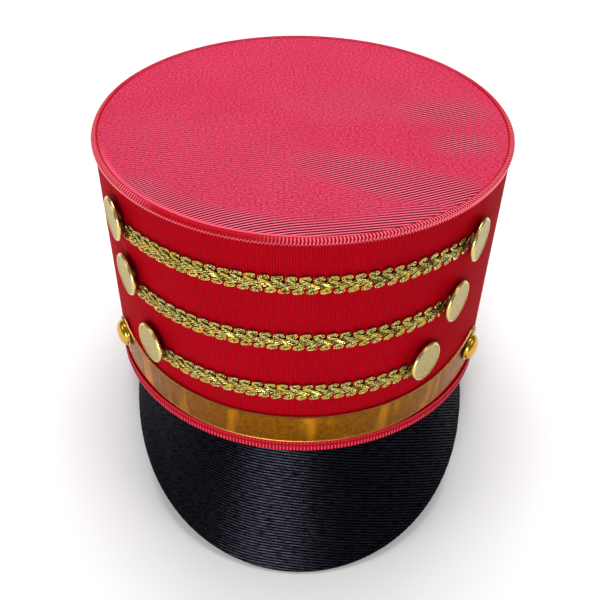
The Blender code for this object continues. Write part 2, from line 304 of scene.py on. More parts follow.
level_out = add(tree, "ShaderNodeVectorMath", {0: where, 1: (1.0, 1.0, 0.0)}, operation="MULTIPLY")
level_out = add(tree, "ShaderNodeVectorMath", {0: level_out}, operation="NORMALIZE")
shift = add(tree, "ShaderNodeVectorMath", {0: level_out, 3: drift}, operation="SCALE")
swayed = add(tree, "GeometryNodeSetPosition", {"Geometry": placed, "Offset": shift})
joined = add(tree, "GeometryNodeMergeByDistance", {"Geometry": swayed, "Distance": 0.00001})
end_tree(tree, given, end, joined)
wall_mesh = run_tree(
    "crown_wall_cloth",
    tree,
    Height=CROWN_HEIGHT,
    Foot=CROWN_FOOT,
    Bottom_Radius=CROWN_BOTTOM_RADIUS,
    Top_Radius=CROWN_TOP_RADIUS,
    Wall=CROWN_WALL,
    Ribs=round(2 * pi * CROWN_BOTTOM_RADIUS / WALL_RIB_PITCH),
    Rib_Depth=WALL_RIB_DEPTH,
    Rows=WALL_ROWS,
    Sway=WALL_SWAY,
    Sway_Size=WALL_SWAY_SIZE,
    Seed=4.0,
    Material=red_faille,
)


def volume_of(mesh):
    mesh.calc_loop_triangles()
    corners = np.empty(len(mesh.loop_triangles) * 3, np.int32)
    mesh.loop_triangles.foreach_get("vertices", corners)
    a, b, c = np.moveaxis(points_of(mesh)[corners.reshape(-1, 3)], 1, 0)
    return float(np.einsum("ij,ij->i", a, np.cross(b, c)).sum() / 6)


if volume_of(wall_mesh) < 0:
    wall_mesh.flip_normals()

# Where the buttons are sewn on: angle from the peak's centre line, and height up the wall.
FLAT_BUTTONS = {
    "upper_left": (radians(-56.0), 0.1041),
    "upper_right": (radians(49.4), 0.1007),
    "middle_left": (radians(-52.9), 0.0769),
    "middle_right": (radians(43.7), 0.0720),
    "lower_left": (radians(-45.3), 0.0446),
    "lower_right": (radians(34.7), 0.0444),
}
PUCKER_DEPTH = 0.00022
PUCKER_REACH = 0.0075
PUCKER_START = 0.0120


def puckered(points):
    """Draws the cloth in with radiating folds round each sewn button."""
    moved = points.copy()
    angle = np.arctan2(points[:, 0], -points[:, 1])
    outward = points * [1.0, 1.0, 0.0]
    outward /= np.linalg.norm(outward, axis=1, keepdims=True)
    for number, (middle, height) in enumerate(FLAT_BUTTONS.values()):
        across = (angle - middle) * CROWN_BOTTOM_RADIUS
        up = points[:, 2] - height
        far = np.hypot(across, up)
        fold = np.cos(5 * np.arctan2(up, across) + 1.7 * number)
        strength = np.exp(-(((far - PUCKER_START) / PUCKER_REACH) ** 2))
        moved += outward * (PUCKER_DEPTH * fold * strength)[:, None]
    return moved


crown_wall = put_piece("crown_wall_cloth", wall_mesh, puckered(points_of(wall_mesh)), red_faille)
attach(crown_wall, "root")
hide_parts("crown_wall")


# Crown top
# A flat disc of the same stiffening, covered in red satin-faced faille whose ribs run across the
# hat. The cloth is pressed against the roll all round, and shows its ribs where it is drawn tight.

RIM_HEIGHT = 0.0027
RIM_TOP = CROWN_HEIGHT + GAP + RIM_HEIGHT
TOP_LEVEL = RIM_TOP - 0.0003
# The cloth reaches into the roll, which leaves no dark gap between them.
TOP_RADIUS = CROWN_TOP_RADIUS - CROWN_WALL + 0.0001
TOP_THICKNESS = 0.0030
TOP_FALL = 0.00012
TOP_BOW = 0.00035
TOP_RIB_DEPTH = 0.00012
# The cloth's real ribs are about 1.1 mm apart, and are drawn at 1.8 mm, as coarse as they show.
TOP_RIB_PITCH = 0.0018


def grid_mesh(name, points, cloth, wrap_rows=False, wrap_columns=False, caps=False):
    """A closed mesh through a grid of points, with cloth coordinates in mm as its UV map."""
    rows, columns = points.shape[:2]
    i = np.arange(rows if wrap_rows else rows - 1)[:, None]
    j = np.arange(columns if wrap_columns else columns - 1)[None, :]
    steps = ((0, 0), (0, 1), (1, 1), (1, 0))
    faces = [((i + a) % rows) * columns + (j + b) % columns for a, b in steps]
    faces = np.stack(np.broadcast_arrays(*faces), axis=-1).reshape(-1, 4)
    marks = np.stack([cloth[i + a, j + b] for a, b in steps], axis=-2).reshape(-1, 2)
    mesh = bpy.data.meshes.new(name)
    mesh.vertices.add(rows * columns)
    mesh.vertices.foreach_set("co", points.ravel())
    mesh.loops.add(faces.size)
    mesh.loops.foreach_set("vertex_index", faces.ravel().astype(np.int32))
    mesh.polygons.add(len(faces))
    mesh.polygons.foreach_set("loop_start", np.arange(0, faces.size, 4, dtype=np.int32))
    mesh.uv_layers.new(name="UVMap").uv.foreach_set("vector", marks.ravel())
    mesh.update(calc_edges=True)
    bm = bmesh.new()
    bm.from_mesh(mesh)
    if caps:
        bm.verts.ensure_lookup_table()
        bm.faces.new([bm.verts[k] for k in range(columns)])
        bm.faces.new([bm.verts[(rows - 1) * columns + k] for k in range(columns)])
    bmesh.ops.remove_doubles(bm, verts=bm.verts, dist=1e-7)
    bmesh.ops.recalc_face_normals(bm, faces=bm.faces)
    bm.to_mesh(mesh)
    bm.free()
    if volume_of(mesh) < 0:
        mesh.flip_normals()
    return mesh


# Rows across the disc's top, each ending on the circle, then the same rows back underneath.
rows, columns = 640, 64
down = np.cos(np.linspace(0.0, pi, rows + 1))
lines = -TOP_RADIUS * (0.92 * np.linspace(-1, 1, rows + 1)[::-1] + 0.08 * down)
lines = np.clip(lines, -TOP_RADIUS, TOP_RADIUS)
reach = np.sqrt(np.maximum(TOP_RADIUS**2 - lines**2, 0.0))
over = np.linspace(-1.0, 1.0, columns + 1)
x = reach[:, None] * over[None, :]
y = np.broadcast_to(lines[:, None], x.shape)
edge = TOP_RADIUS - np.hypot(x, y)
fall = TOP_FALL * np.exp(-edge / 0.0006)
bow = TOP_BOW * np.sin(x / 0.031 + 0.6) * np.cos(y / 0.037)
bow = bow * (1 - np.exp(-edge / 0.006))
top = np.stack([x, y, TOP_LEVEL - fall + bow - 0.0001], axis=-1)
narrow = 1.0 - 0.0001 / TOP_RADIUS
under = np.stack([x * narrow, y * narrow, np.full(x.shape, TOP_LEVEL - TOP_THICKNESS)], axis=-1)
sheet = np.concatenate([top, under[:, ::-1][:, :: columns // 8]], axis=1)
marks = sheet[:, :, :2] * 1000
marks = np.concatenate([marks, marks[:, :1]], axis=1)
top_mesh = grid_mesh("crown_top_cloth", sheet, marks, wrap_columns=True)


def eased(value, start, stop):
    share = np.clip((value - start) / (stop - start), 0.0, 1.0)
    return share * share * (3 - 2 * share)


# Soft-edged ovals where the ribs show: how strongly, the middle, and half the length and width.
TIGHT_PATCHES = [
    (0.62, (0.066, 0.010), (0.024, 0.015)),
    (0.58, (0.072, -0.020), (0.016, 0.011)),
]
SLACK_PATCHES = [
    (0.26, (-0.062, -0.036), (0.042, 0.050)),
    (0.30, (-0.012, -0.036), (0.036, 0.024)),
    (0.26, (0.034, 0.018), (0.050, 0.020)),
    (0.22, (0.020, -0.072), (0.040, 0.012)),
]


def in_patches(points, patches):
    """How strongly the ribs show at each point, from the strongest patch there."""
    shares = []
    for strength, middle, size in patches:
        away = (points[:, :2] - np.array(middle)) / np.array(size)
        shares.append(strength * np.exp(-((away**2).sum(axis=1) ** 1.5)))
    return np.max(shares, axis=0)


def top_ribs(points):
    """The ribs' phase and how strongly they show, over the top's cloth."""
    x, y = points[:, 0], points[:, 1]
    angle = np.degrees(np.arctan2(x, -y))
    edge = TOP_RADIUS - np.hypot(x, y)
    # Along the front edge the cloth is drawn in, so the ribs bend and stand out.
    front = eased(angle, -64, -44) * (1 - eased(angle, 34, 46)) * np.exp(-((edge / 0.0125) ** 3))
    front *= 1.0 - 0.30 * eased(angle, -5, 12)
    # They also show in a band from the middle to the right, and beyond it at the right edge.
    start, way = np.array([0.004, -0.037]), np.array([0.058, -0.026])
    share = np.clip(((points[:, :2] - start) @ way) / (way @ way), 0.0, 1.0)
    far = np.linalg.norm(points[:, :2] - start - share[:, None] * way, axis=1)
    band = np.exp(-((far / 0.0125) ** 3)) * (0.50 + 0.50 * eased(share, 0.0, 0.40))
    band = np.maximum(band, in_patches(points, TIGHT_PATCHES))
    # Elsewhere the slacker cloth shows them faintly, leaning the other way.
    slack = in_patches(points, SLACK_PATCHES)
    bent = 0.17 * x - 4.3 * np.minimum(x, 0.0) ** 2
    drooping = -0.17 * x - 1.0 * np.maximum(x + 0.03, 0.0) ** 2
    rises = np.stack([bent, 0.42 * x, drooping])
    shares = np.stack([np.minimum(1.6 * front, 1.0), np.minimum(1.6 * band, 1.0), slack])
    strongest = shares.argmax(axis=0)
    rise = np.take_along_axis(rises, strongest[None], axis=0)[0]
    shares.sort(axis=0)
    return (y - rise) / TOP_RIB_PITCH, shares[2] - 0.4 * shares[1]


def put_attribute(mesh, name, values):
    made = mesh.attributes.new(name, "FLOAT", "POINT")
    made.data.foreach_set("value", np.ascontiguousarray(values, np.float32))


# Raises ribs on a mesh that holds their phase and relief.
tree, given, end = new_tree("raised_ribs", Material=None)
phase = add(tree, "GeometryNodeInputNamedAttribute", {"Name": "phase"}, data_type="FLOAT")
relief = add(tree, "GeometryNodeInputNamedAttribute", {"Name": "relief"}, data_type="FLOAT")
crest = rib_crest(tree, phase)
depth = add(tree, "ShaderNodeMath", {0: crest, 1: 1.0}, operation="SUBTRACT")
depth = add(tree, "ShaderNodeMath", {0: depth, 1: relief}, operation="MULTIPLY")
outward = add(tree, "GeometryNodeInputNormal")
lift = add(tree, "ShaderNodeVectorMath", {0: outward, 3: depth}, operation="SCALE")
lifted = {"Geometry": given.outputs["Geometry"], "Offset": lift}
raised = add(tree, "GeometryNodeSetPosition", lifted)
end_tree(tree, given, end, raised)
raised_ribs = tree


def sharp_crest(tree, groove, crest):
    """The ribs' crests with soft edges, from the mesh's phase: nought up to groove, one from crest."""
    phase = add(tree, "ShaderNodeAttribute", attribute_name="phase")
    level = rib_crest(tree, phase.outputs["Fac"])
    sockets = {"Value": level, "From Min": groove, "From Max": crest}
    return add(tree, "ShaderNodeMapRange", sockets, interpolation_type="SMOOTHSTEP")


# Satin-faced faille: long smooth floats of polyester over the ribs, glossier than the wall's. Its
# pinker colour is painted sheen from the light above, and the ribs' crests are painted pale and their
# grooves dark, as painted highlight and shade. IOR 1.5, roughness about 0.45.
red_satin, tree, shader = new_material(
    "red_satin",
    Roughness=0.48,
    IOR=1.5,
    Specular_IOR_Level=0.025,
    Sheen_Weight=0.015,
    Sheen_Roughness=0.35,
    Sheen_Tint=linear("#FF5C7C"),
)
cloth = add(tree, "ShaderNodeUVMap", uv_map="UVMap")
sharp = sharp_crest(tree, 0.62, 1.0)
shown = add(tree, "ShaderNodeAttribute", attribute_name="shown")
painted_glint = add(tree, "ShaderNodeAttribute", attribute_name="painted_glint")
stretch = add(tree, "ShaderNodeMapping", {"Vector": cloth, "Scale": (0.75, 1.0, 1.0)})
grain = add(tree, "ShaderNodeTexNoise", {"Vector": stretch, "Scale": 1.15, "Detail": 3.0})
speck = add(tree, "ShaderNodeMapRange", {"Value": grain, "From Min": 0.30, "From Max": 0.70})
cloudy = add(tree, "ShaderNodeTexNoise", {"Vector": cloth, "Scale": 0.025, "Detail": 3.0})
cloud_range = {"Value": cloudy, "From Min": 0.35, "From Max": 0.7, "To Max": 0.25}
shade = add(tree, "ShaderNodeMapRange", cloud_range)
red = layered(
    tree,
    "#900A2A",
    (speck, "#EC4A6C"),
    (shown.outputs["Fac"], "#500004", (sharp, "#FF7490")),
    (shade, "#B81636"),
    (painted_glint.outputs["Fac"], "#F65A76"),
)
finish(tree, shader, red, grain)

points = points_of(top_mesh)
phase, shown_share = top_ribs(points)
upper = points[:, 2] > TOP_LEVEL - 0.0015
put_attribute(top_mesh, "phase", phase)
put_attribute(top_mesh, "relief", np.where(upper, TOP_RIB_DEPTH * shown_share, 0.0))
put_attribute(top_mesh, "shown", shown_share)
# Painted highlight: a pale line along the top's edge at the front left only, where the edge catches
# the light.
turn = np.degrees(np.arctan2(points[:, 0], -points[:, 1]))
edge = TOP_RADIUS - np.hypot(points[:, 0], points[:, 1])
drawn = eased(turn, -80, -60) * (1 - eased(turn, -2, 12))
put_attribute(top_mesh, "painted_glint", 0.9 * drawn * np.exp(-((edge / 0.0014) ** 4)))
top_mesh = run_tree("crown_top_cloth", raised_ribs, top_mesh, Material=red_satin)
crown_top = put_piece("crown_top_cloth", top_mesh, points_of(top_mesh), red_satin)
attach(crown_top, "root")
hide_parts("crown_top")


# Rolled rim
# A strip of the satin-faced cloth rolled over the joint of top and wall. Its ribs lie across the roll,
# so they show as short ticks with painted highlights on their crests, and a zigzag stitch holds its
# lower edge to the wall.

RIM_OVERHANG = 0.0009
RIM_RIB_PITCH = 0.00150
RIM_RIB_DEPTH = 0.00030
RIM_SECTION = 20
RIM_POINTS_A_RIB = 5


def ring_mesh(name, section, count, around, last):
    """A closed ring from its section's (radius, level) points. Its cloth is so long around.

    The last value is the length of the step that closes the section.
    """
    angle = -pi + 2 * pi * np.arange(count) / count
    radius, level = section[None, :, 0], section[None, :, 1]
    x = radius * np.sin(angle)[:, None]
    y = -radius * np.cos(angle)[:, None]
    points = np.stack([x, y, np.broadcast_to(level, x.shape)], axis=-1)
    steps = np.linalg.norm(np.diff(section, axis=0), axis=1)
    across = np.cumsum([0.0, *steps, last])
    along = around * np.arange(count + 1) / count
    marks = np.stack(np.meshgrid(along, across, indexing="ij"), axis=-1)
    return grid_mesh(name, points, marks * 1000, wrap_rows=True, wrap_columns=True)


base = CROWN_HEIGHT + GAP
inner = CROWN_TOP_RADIUS - CROWN_WALL
outer = CROWN_TOP_RADIUS + RIM_OVERHANG
middle, half = (inner + outer) / 2, (outer - inner) / 2
waist = base + RIM_HEIGHT * 0.45
turn = np.linspace(0.0, pi, RIM_SECTION + 1)
lean_in, lean_up = -np.cos(turn), np.sin(turn)
squared = 0.62 * np.sign(lean_in) * np.abs(lean_in) ** 0.55 + 0.38 * lean_in
rolled = waist + (RIM_TOP - waist) * lean_up**0.55
section = np.stack([middle + half * squared, rolled], axis=1)
tucked = section[: RIM_SECTION // 2]
tucked[:, 1] = np.maximum(tucked[:, 1], TOP_LEVEL - 0.0004)
foot = [
    (outer - 0.05 * RIM_OVERHANG, base + 0.6 * (waist - base)),
    (outer - 0.35 * RIM_OVERHANG, base + 0.2 * (waist - base)),
    (outer - RIM_OVERHANG, base),
    (inner, base),
]
section = np.concatenate([section, foot])
around = 2 * pi * outer
ribs = round(around / RIM_RIB_PITCH)
rim_mesh = ring_mesh("top_rim_cloth", section, ribs * RIM_POINTS_A_RIB, around, outer - inner)
points = points_of(rim_mesh)
angle = np.degrees(np.arctan2(points[:, 0], -points[:, 1]))
radius = np.hypot(points[:, 0], points[:, 1])
# The ticks show at the left and the right; between them, and at the back, the strip lies plain.
right = eased(angle, -14, 2) * (1 - eased(angle, 88, 108))
left = eased(angle, -112, -96) * (1 - eased(angle, -50, -38))
seam = 1 - eased(radius, inner + 0.0007, inner + 0.0014)
relief = (right + left) * (1 - seam) * np.where(points[:, 2] > base + 0.0002, 1.0, 0.0)
fold = np.maximum(outer - radius, RIM_TOP - points[:, 2])
lean = (0.15 + 0.40 * eased(np.abs(angle), 5, 45)) * (1 - np.clip(fold / 0.0022, 0.0, 1.0))
# Painted shade: a dark red strip at the front, and the groove along the seam except at the back, are
# coloured darker.
front = eased(angle, -46, -38) * (1 - eased(angle, 8, 16))
sides = eased(angle, -125, -105) * (1 - eased(angle, 108, 128))
put_attribute(rim_mesh, "phase", angle / 360 * ribs - lean)
put_attribute(rim_mesh, "relief", RIM_RIB_DEPTH * relief)
put_attribute(rim_mesh, "shown", relief)
put_attribute(rim_mesh, "rim_painted_shade", np.maximum(front, seam * sides))

# The same satin-faced faille, worked over the edge. Its pink is painted sheen, its rib crests are
# painted pale as highlights, and the front strip and the groove are painted darker as shade.
rim_satin, tree, shader = new_material(
    "rim_satin",
    Roughness=0.46,
    IOR=1.5,
    Specular_IOR_Level=0.05,
    Sheen_Weight=0.02,
    Sheen_Roughness=0.35,
    Sheen_Tint=linear("#FF5C7C"),
)
cloth = add(tree, "ShaderNodeUVMap", uv_map="UVMap")
sharp = sharp_crest(tree, 0.72, 1.0)
shown = add(tree, "ShaderNodeAttribute", attribute_name="shown")
grain = add(tree, "ShaderNodeTexNoise", {"Vector": cloth, "Scale": 1.1, "Detail": 3.0})
speck = add(tree, "ShaderNodeMapRange", {"Value": grain, "From Min": 0.30, "From Max": 0.70})
rim_painted_shade = add(tree, "ShaderNodeAttribute", attribute_name="rim_painted_shade")
red = layered(
    tree,
    "#8E0820",
    (speck, "#D83856"),
    (rim_painted_shade.outputs["Fac"], "#8C000C", (speck, "#C80620")),
    (shown.outputs["Fac"], "#A00012", (sharp, "#FF7A8E")),
)
finish(tree, shader, red, grain)
rim_mesh = run_tree("top_rim_cloth", raised_ribs, rim_mesh, Material=rim_satin)
top_rim = put_piece("top_rim_cloth", rim_mesh, points_of(rim_mesh), rim_satin)
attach(top_rim, "root")
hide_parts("top_rim")

# The zigzag: one point at each turn of the thread, lifted off the rim's outer side.
tree, given, end = new_tree("zigzag_thread", Thread_Radius=0.0002, Sides=5, Material=None)
ring = add(tree, "GeometryNodeMeshToCurve", {"Mesh": given.outputs["Geometry"]})
round_size = {"Resolution": given.outputs["Sides"], "Radius": given.outputs["Thread Radius"]}
section = add(tree, "GeometryNodeCurvePrimitiveCircle", round_size)
thread = add(tree, "GeometryNodeCurveToMesh", {"Curve": ring, "Profile Curve": section})
end_tree(tree, given, end, thread)
zigzag_thread = tree


def thread_ring(points):
    """A closed line of edges for the thread's tree to follow."""
    mesh = bpy.data.meshes.new("thread_line")
    count = len(points)
    mesh.from_pydata(points.tolist(), [(k, (k + 1) % count) for k in range(count)], [])
    return mesh


# Sewing thread: twisted bright polyester, a little glossy. IOR 1.5, roughness about 0.4.
pink_thread, tree, shader = new_material(
    "pink_thread", Roughness=0.42, IOR=1.5, Specular_IOR_Level=0.4
)
place = add(tree, "ShaderNodeTexCoord").outputs["Object"]
ply = add(tree, "ShaderNodeTexNoise", {"Vector": place, "Scale": 1800.0, "Detail": 1.0})
finish(tree, shader, layered(tree, "#F85A74", (ply, "#FF98A8")))
turns = ribs * 2
angle = -pi + 2 * pi * np.arange(turns) / turns
degrees = np.degrees(angle)
tall = 0.00055 + 0.00060 * eased(degrees, -12, 6)
level = base + 0.00050 + 0.00040 * eased(degrees, -12, 6) + tall * (np.arange(turns) % 2 * 2 - 1)
radius = outer + 0.00018 - 0.0009 * eased(base + 0.0003 - level, 0.0, 0.0010)
radius -= 0.0006 * eased(level, RIM_TOP - 0.0009, RIM_TOP - 0.0001)
points = np.stack([radius * np.sin(angle), -radius * np.cos(angle), level], axis=-1)
zigzag_mesh = run_tree(
    "rim_zigzag",
    zigzag_thread,
    thread_ring(points),
    Thread_Radius=0.00024,
    Sides=5,
    Material=pink_thread,
)
rim_zigzag = put_piece("rim_zigzag", zigzag_mesh, points_of(zigzag_mesh), pink_thread)
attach(rim_zigzag, "root")


# Bottom binding
# A ribbed satin ribbon folded round the bottom edge. Its lower half shows the ribs as ticks whose
# crests are painted pale as highlights, a line of stitching sinks into it half way up, and its upper
# half lies flat on the wall with fainter painted ticks.

BINDING_HEIGHT = 0.0064
BINDING_OFF = GAP + 0.0006
BINDING_RIB_PITCH = 0.0016
BINDING_RIB_DEPTH = 0.00025
BINDING_SEAM = 0.0036
BINDING_POINTS_A_RIB = 4


def binding_out(level):
    """How far the ribbon stands off the wall: a soft roll below, a groove, then a flat band."""
    roll = 0.00030 * np.sin(np.clip(level / BINDING_SEAM, 0, 1) * pi)
    groove = -0.00030 * np.exp(-(((level - BINDING_SEAM) / 0.00030) ** 2))
    return BINDING_OFF + roll + groove


levels = np.linspace(0.0004, BINDING_HEIGHT - 0.0002, 26)
section = [(crown_radius(h) + binding_out(h), h) for h in levels]
top = crown_radius(BINDING_HEIGHT)
section += [
    (top + BINDING_OFF - 0.0002, BINDING_HEIGHT),
    (top + GAP, BINDING_HEIGHT - 0.0001),
    (crown_radius(CROWN_FOOT) + GAP, 0.0010),
    (crown_radius(CROWN_FOOT) - CROWN_WALL - GAP, 0.0010),
    (top - CROWN_WALL - GAP, BINDING_HEIGHT - 0.0001),
    (top - CROWN_WALL - BINDING_OFF + 0.0001, BINDING_HEIGHT),
    (top - CROWN_WALL - BINDING_OFF, BINDING_HEIGHT - 0.0003),
    (crown_radius(0.0) - CROWN_WALL - BINDING_OFF, 0.0004),
    (crown_radius(0.0) - CROWN_WALL - BINDING_OFF + 0.0003, 0.00005),
    (crown_radius(0.0) + BINDING_OFF - 0.0003, 0.00002),
]
around = 2 * pi * CROWN_BOTTOM_RADIUS
ribs = round(around / BINDING_RIB_PITCH)
count = ribs * BINDING_POINTS_A_RIB
binding_mesh = ring_mesh("binding_ribbon", np.array(section), count, around, 0.0005)
points = points_of(binding_mesh)
angle = np.arctan2(points[:, 0], -points[:, 1])
radius = np.hypot(points[:, 0], points[:, 1])
on_face = radius > crown_radius(points[:, 2]) + BINDING_OFF - 0.00035
relief = on_face * eased(points[:, 2], 0.0002, 0.0009) * (1 - eased(points[:, 2], 0.0026, 0.0033))
put_attribute(binding_mesh, "phase", angle / (2 * pi) * ribs)
put_attribute(binding_mesh, "relief", BINDING_RIB_DEPTH * relief)
# Painted highlight: the flat upper band gets faint pale ticks in colour alone, with no ribs raised.
flat_band = eased(points[:, 2], 0.0040, 0.0046) * (1 - eased(points[:, 2], 0.0054, 0.0062))
put_attribute(binding_mesh, "shown", np.maximum(relief, 0.45 * on_face * flat_band))

# Grosgrain ribbon: close crosswise ribs of bright polyester. IOR 1.5, roughness about 0.45.
ribbon_red, tree, shader = new_material(
    "grosgrain_ribbon",
    Roughness=0.45,
    IOR=1.5,
    Specular_IOR_Level=0.04,
    Sheen_Weight=0.03,
    Sheen_Roughness=0.4,
    Sheen_Tint=linear("#FF4060"),
)
cloth = add(tree, "ShaderNodeUVMap", uv_map="UVMap")
shown = add(tree, "ShaderNodeAttribute", attribute_name="shown")
grain = add(tree, "ShaderNodeTexNoise", {"Vector": cloth, "Scale": 1.3, "Detail": 3.0})
sharp = sharp_crest(tree, 0.60, 0.98)
# The ticks: crests painted pale as highlights, grooves painted dark as shade.
ticks = (shown.outputs["Fac"], "#90000C", (sharp, "#F24A64"))
finish(tree, shader, layered(tree, "#8C0010", (grain, "#D40C28"), ticks), grain)
binding_mesh = run_tree("binding_ribbon", raised_ribs, binding_mesh, Material=ribbon_red)
binding = put_piece("binding_ribbon", binding_mesh, points_of(binding_mesh), ribbon_red)
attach(binding, "root")
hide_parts("bottom_binding")

# The machine stitches in the groove: short dark red threads, each a little bow.
STITCH_PITCH = 0.0032
tree, given, end = new_tree(
    "stitch_row", Stitch_Length=0.002, Thread_Radius=0.0002, Material=None
)
size = given.outputs
spots = add(tree, "GeometryNodeMeshToPoints", {"Mesh": size["Geometry"]})
length = add(tree, "ShaderNodeMath", {0: size["Stitch Length"], 1: 0.5}, operation="MULTIPLY")
back = add(tree, "ShaderNodeMath", {0: length, 1: -1.0}, operation="MULTIPLY")
from_x = add(tree, "ShaderNodeCombineXYZ", {0: back})
to_x = add(tree, "ShaderNodeCombineXYZ", {0: length})
rise = add(tree, "ShaderNodeMath", {0: size["Thread Radius"], 1: -1.6}, operation="MULTIPLY")
bow = add(tree, "ShaderNodeCombineXYZ", {1: rise})
line = {"Resolution": 4, "Start": from_x, "Middle": bow, "End": to_x}
line = add(tree, "GeometryNodeCurveQuadraticBezier", line)
section = {"Resolution": 5, "Radius": size["Thread Radius"]}
section = add(tree, "GeometryNodeCurvePrimitiveCircle", section)
stitch = {"Curve": line, "Profile Curve": section, "Fill Caps": True}
stitch = add(tree, "GeometryNodeCurveToMesh", stitch)
facing = add(tree, "GeometryNodeInputNamedAttribute", {"Name": "facing"}, data_type="FLOAT")
turned = add(tree, "ShaderNodeCombineXYZ", {2: facing})
set_out = {"Points": spots, "Instance": stitch, "Rotation": turned}
set_out = add(tree, "GeometryNodeInstanceOnPoints", set_out)
end_tree(tree, given, end, set_out)
stitch_row = tree

# Dull dark red polyester thread, sunk into the ribbon. IOR 1.5, roughness about 0.6.
dark_thread, tree, shader = new_material("dark_red_thread", Roughness=0.6, IOR=1.5)
place = add(tree, "ShaderNodeTexCoord").outputs["Object"]
ply = add(tree, "ShaderNodeTexNoise", {"Vector": place, "Scale": 1500.0, "Detail": 1.0})
finish(tree, shader, layered(tree, "#3C0008", (ply, "#7A0614")))
count = round(around / STITCH_PITCH)
angle = -pi + 2 * pi * np.arange(count) / count
radius = crown_radius(BINDING_SEAM) + binding_out(BINDING_SEAM) + 0.00008
points = np.stack(
    [radius * np.sin(angle), -radius * np.cos(angle), np.full(count, BINDING_SEAM)], axis=-1
)
spots_mesh = bpy.data.meshes.new("stitch_spots")
spots_mesh.from_pydata(points.tolist(), [], [])
put_attribute(spots_mesh, "facing", angle)
stitch_mesh = run_tree(
    "binding_stitches",
    stitch_row,
    spots_mesh,
    Stitch_Length=0.0018,
    Thread_Radius=0.00016,
    Material=dark_thread,
)
stitches = put_piece("binding_stitches", stitch_mesh, points_of(stitch_mesh), dark_thread)
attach(stitches, "root")


# Peak
# A steep crescent of stiff board under black ribbed faille, turned under along its front edge and
# sewn beneath the binding. The ribs lie straight across the cloth before it is bent round.

PEAK_LENGTH = 0.0611
PEAK_TIP_WIDTH = 0.0015
PEAK_HALF_ANGLE = radians(60.9)
PEAK_SLOPE = radians(60)
PEAK_THICKNESS = 0.0020
# The peak starts under the binding, this far in from the binding's face.
PEAK_TUCK = 0.0007
PEAK_ROOT = CROWN_BOTTOM_RADIUS + BINDING_OFF - PEAK_TUCK
# Drawn at 1.4 mm, as coarse as they show. The real ribs are about 1.1 mm apart.
PEAK_RIB_PITCH = 0.0014
PEAK_RIB_DEPTH = 0.00014

stations, rows, under_rows = 230, 214, 10
angle = np.linspace(-1.0, 1.0, stations + 1) * PEAK_HALF_ANGLE
length = PEAK_TIP_WIDTH + (PEAK_LENGTH - PEAK_TIP_WIDTH) * (1 - (angle / PEAK_HALF_ANGLE) ** 2)
edge_turn = np.linspace(0, pi, 7)[1:-1]
half = PEAK_THICKNESS / 2
down = np.linspace(0.0, 1.0, rows + 1)[None, :] * (length - half)[:, None]
edge = (length - half)[:, None] + half * np.sin(edge_turn)[None, :]
back = np.linspace(1.0, 0.0, under_rows + 1)[None, :] * (length - half)[:, None]
depth = np.concatenate(
    [
        np.zeros(down.shape),
        np.broadcast_to(half - half * np.cos(edge_turn), edge.shape),
        np.full(back.shape, PEAK_THICKNESS),
    ],
    axis=1,
)
run = np.concatenate([down, edge, back], axis=1)
radius = PEAK_ROOT + run * cos(PEAK_SLOPE) - depth * sin(PEAK_SLOPE)
level = -GAP - run * sin(PEAK_SLOPE) - depth * cos(PEAK_SLOPE)
x = radius * np.sin(angle)[:, None]
y = -radius * np.cos(angle)[:, None]
points = np.stack([x, y, level], axis=-1)


def flat_cloth(angle, run):
    """Where a point of the peak's cone lies on its cloth before bending, in metres from the root."""
    apex = PEAK_ROOT / cos(PEAK_SLOPE)
    turn = angle * cos(PEAK_SLOPE)
    return np.stack([(apex + run) * np.sin(turn), (apex + run) * np.cos(turn) - apex], -1)


flat = flat_cloth(angle[:, None], run)
marks = np.concatenate([flat, flat[:, :1]], axis=1) * 1000
peak_mesh = grid_mesh("peak_cloth", points, marks, wrap_columns=True, caps=True)
points = points_of(peak_mesh)
angle = np.arctan2(points[:, 0], -points[:, 1])
radius = np.hypot(points[:, 0], points[:, 1])
top_face = (radius - PEAK_ROOT) * sin(PEAK_SLOPE) + (points[:, 2] + GAP) * cos(PEAK_SLOPE)
run = (radius - PEAK_ROOT) / cos(PEAK_SLOPE)
flat_x, flat_y = flat_cloth(angle, run).T
# The cloth was cut askew and eased round the left side, so its ribs fall to the right there.
skew = -0.115 * flat_x + 4.3 * np.maximum(-flat_x - 0.015, 0.0) ** 2
put_attribute(peak_mesh, "phase", (flat_y + skew) / PEAK_RIB_PITCH)
put_attribute(peak_mesh, "relief", PEAK_RIB_DEPTH * eased(top_face, -0.0012, -0.0002))

# Black faille: blue-black polyester with smooth floats, glossy along the ribs' crests and dull in
# the grooves, and its crests are painted a little lighter as painted sheen. IOR 1.5, roughness about
# 0.25.
black_faille, tree, shader = new_material(
    "black_faille",
    Roughness=0.24,
    IOR=1.5,
    Specular_Tint=linear("#DCDEFF"),
)
cloth = add(tree, "ShaderNodeUVMap", uv_map="UVMap")
sharp = sharp_crest(tree, 0.35, 0.95)
stretch = add(tree, "ShaderNodeMapping", {"Vector": cloth, "Scale": (0.15, 1.0, 1.0)})
grain = add(tree, "ShaderNodeTexNoise", {"Vector": stretch, "Scale": 1.6, "Detail": 3.0})
weave = add(tree, "ShaderNodeTexNoise", {"Vector": cloth, "Scale": 2.2, "Detail": 2.0})
broken = add(tree, "ShaderNodeMapRange", {"Value": grain, "From Min": 0.30, "From Max": 0.62})
level = add(tree, "ShaderNodeMath", {0: sharp, 1: broken}, operation="MULTIPLY")
shine = add(tree, "ShaderNodeMath", {0: level, 1: 0.36, 2: 0.004}, operation="MULTIPLY_ADD")
tree.links.new(shine.outputs[0], shader.inputs["Specular IOR Level"])
height = add(tree, "ShaderNodeMath", {0: grain, 1: weave}, operation="ADD")
finish(tree, shader, layered(tree, "#010102", (level, "#080A12")), height)
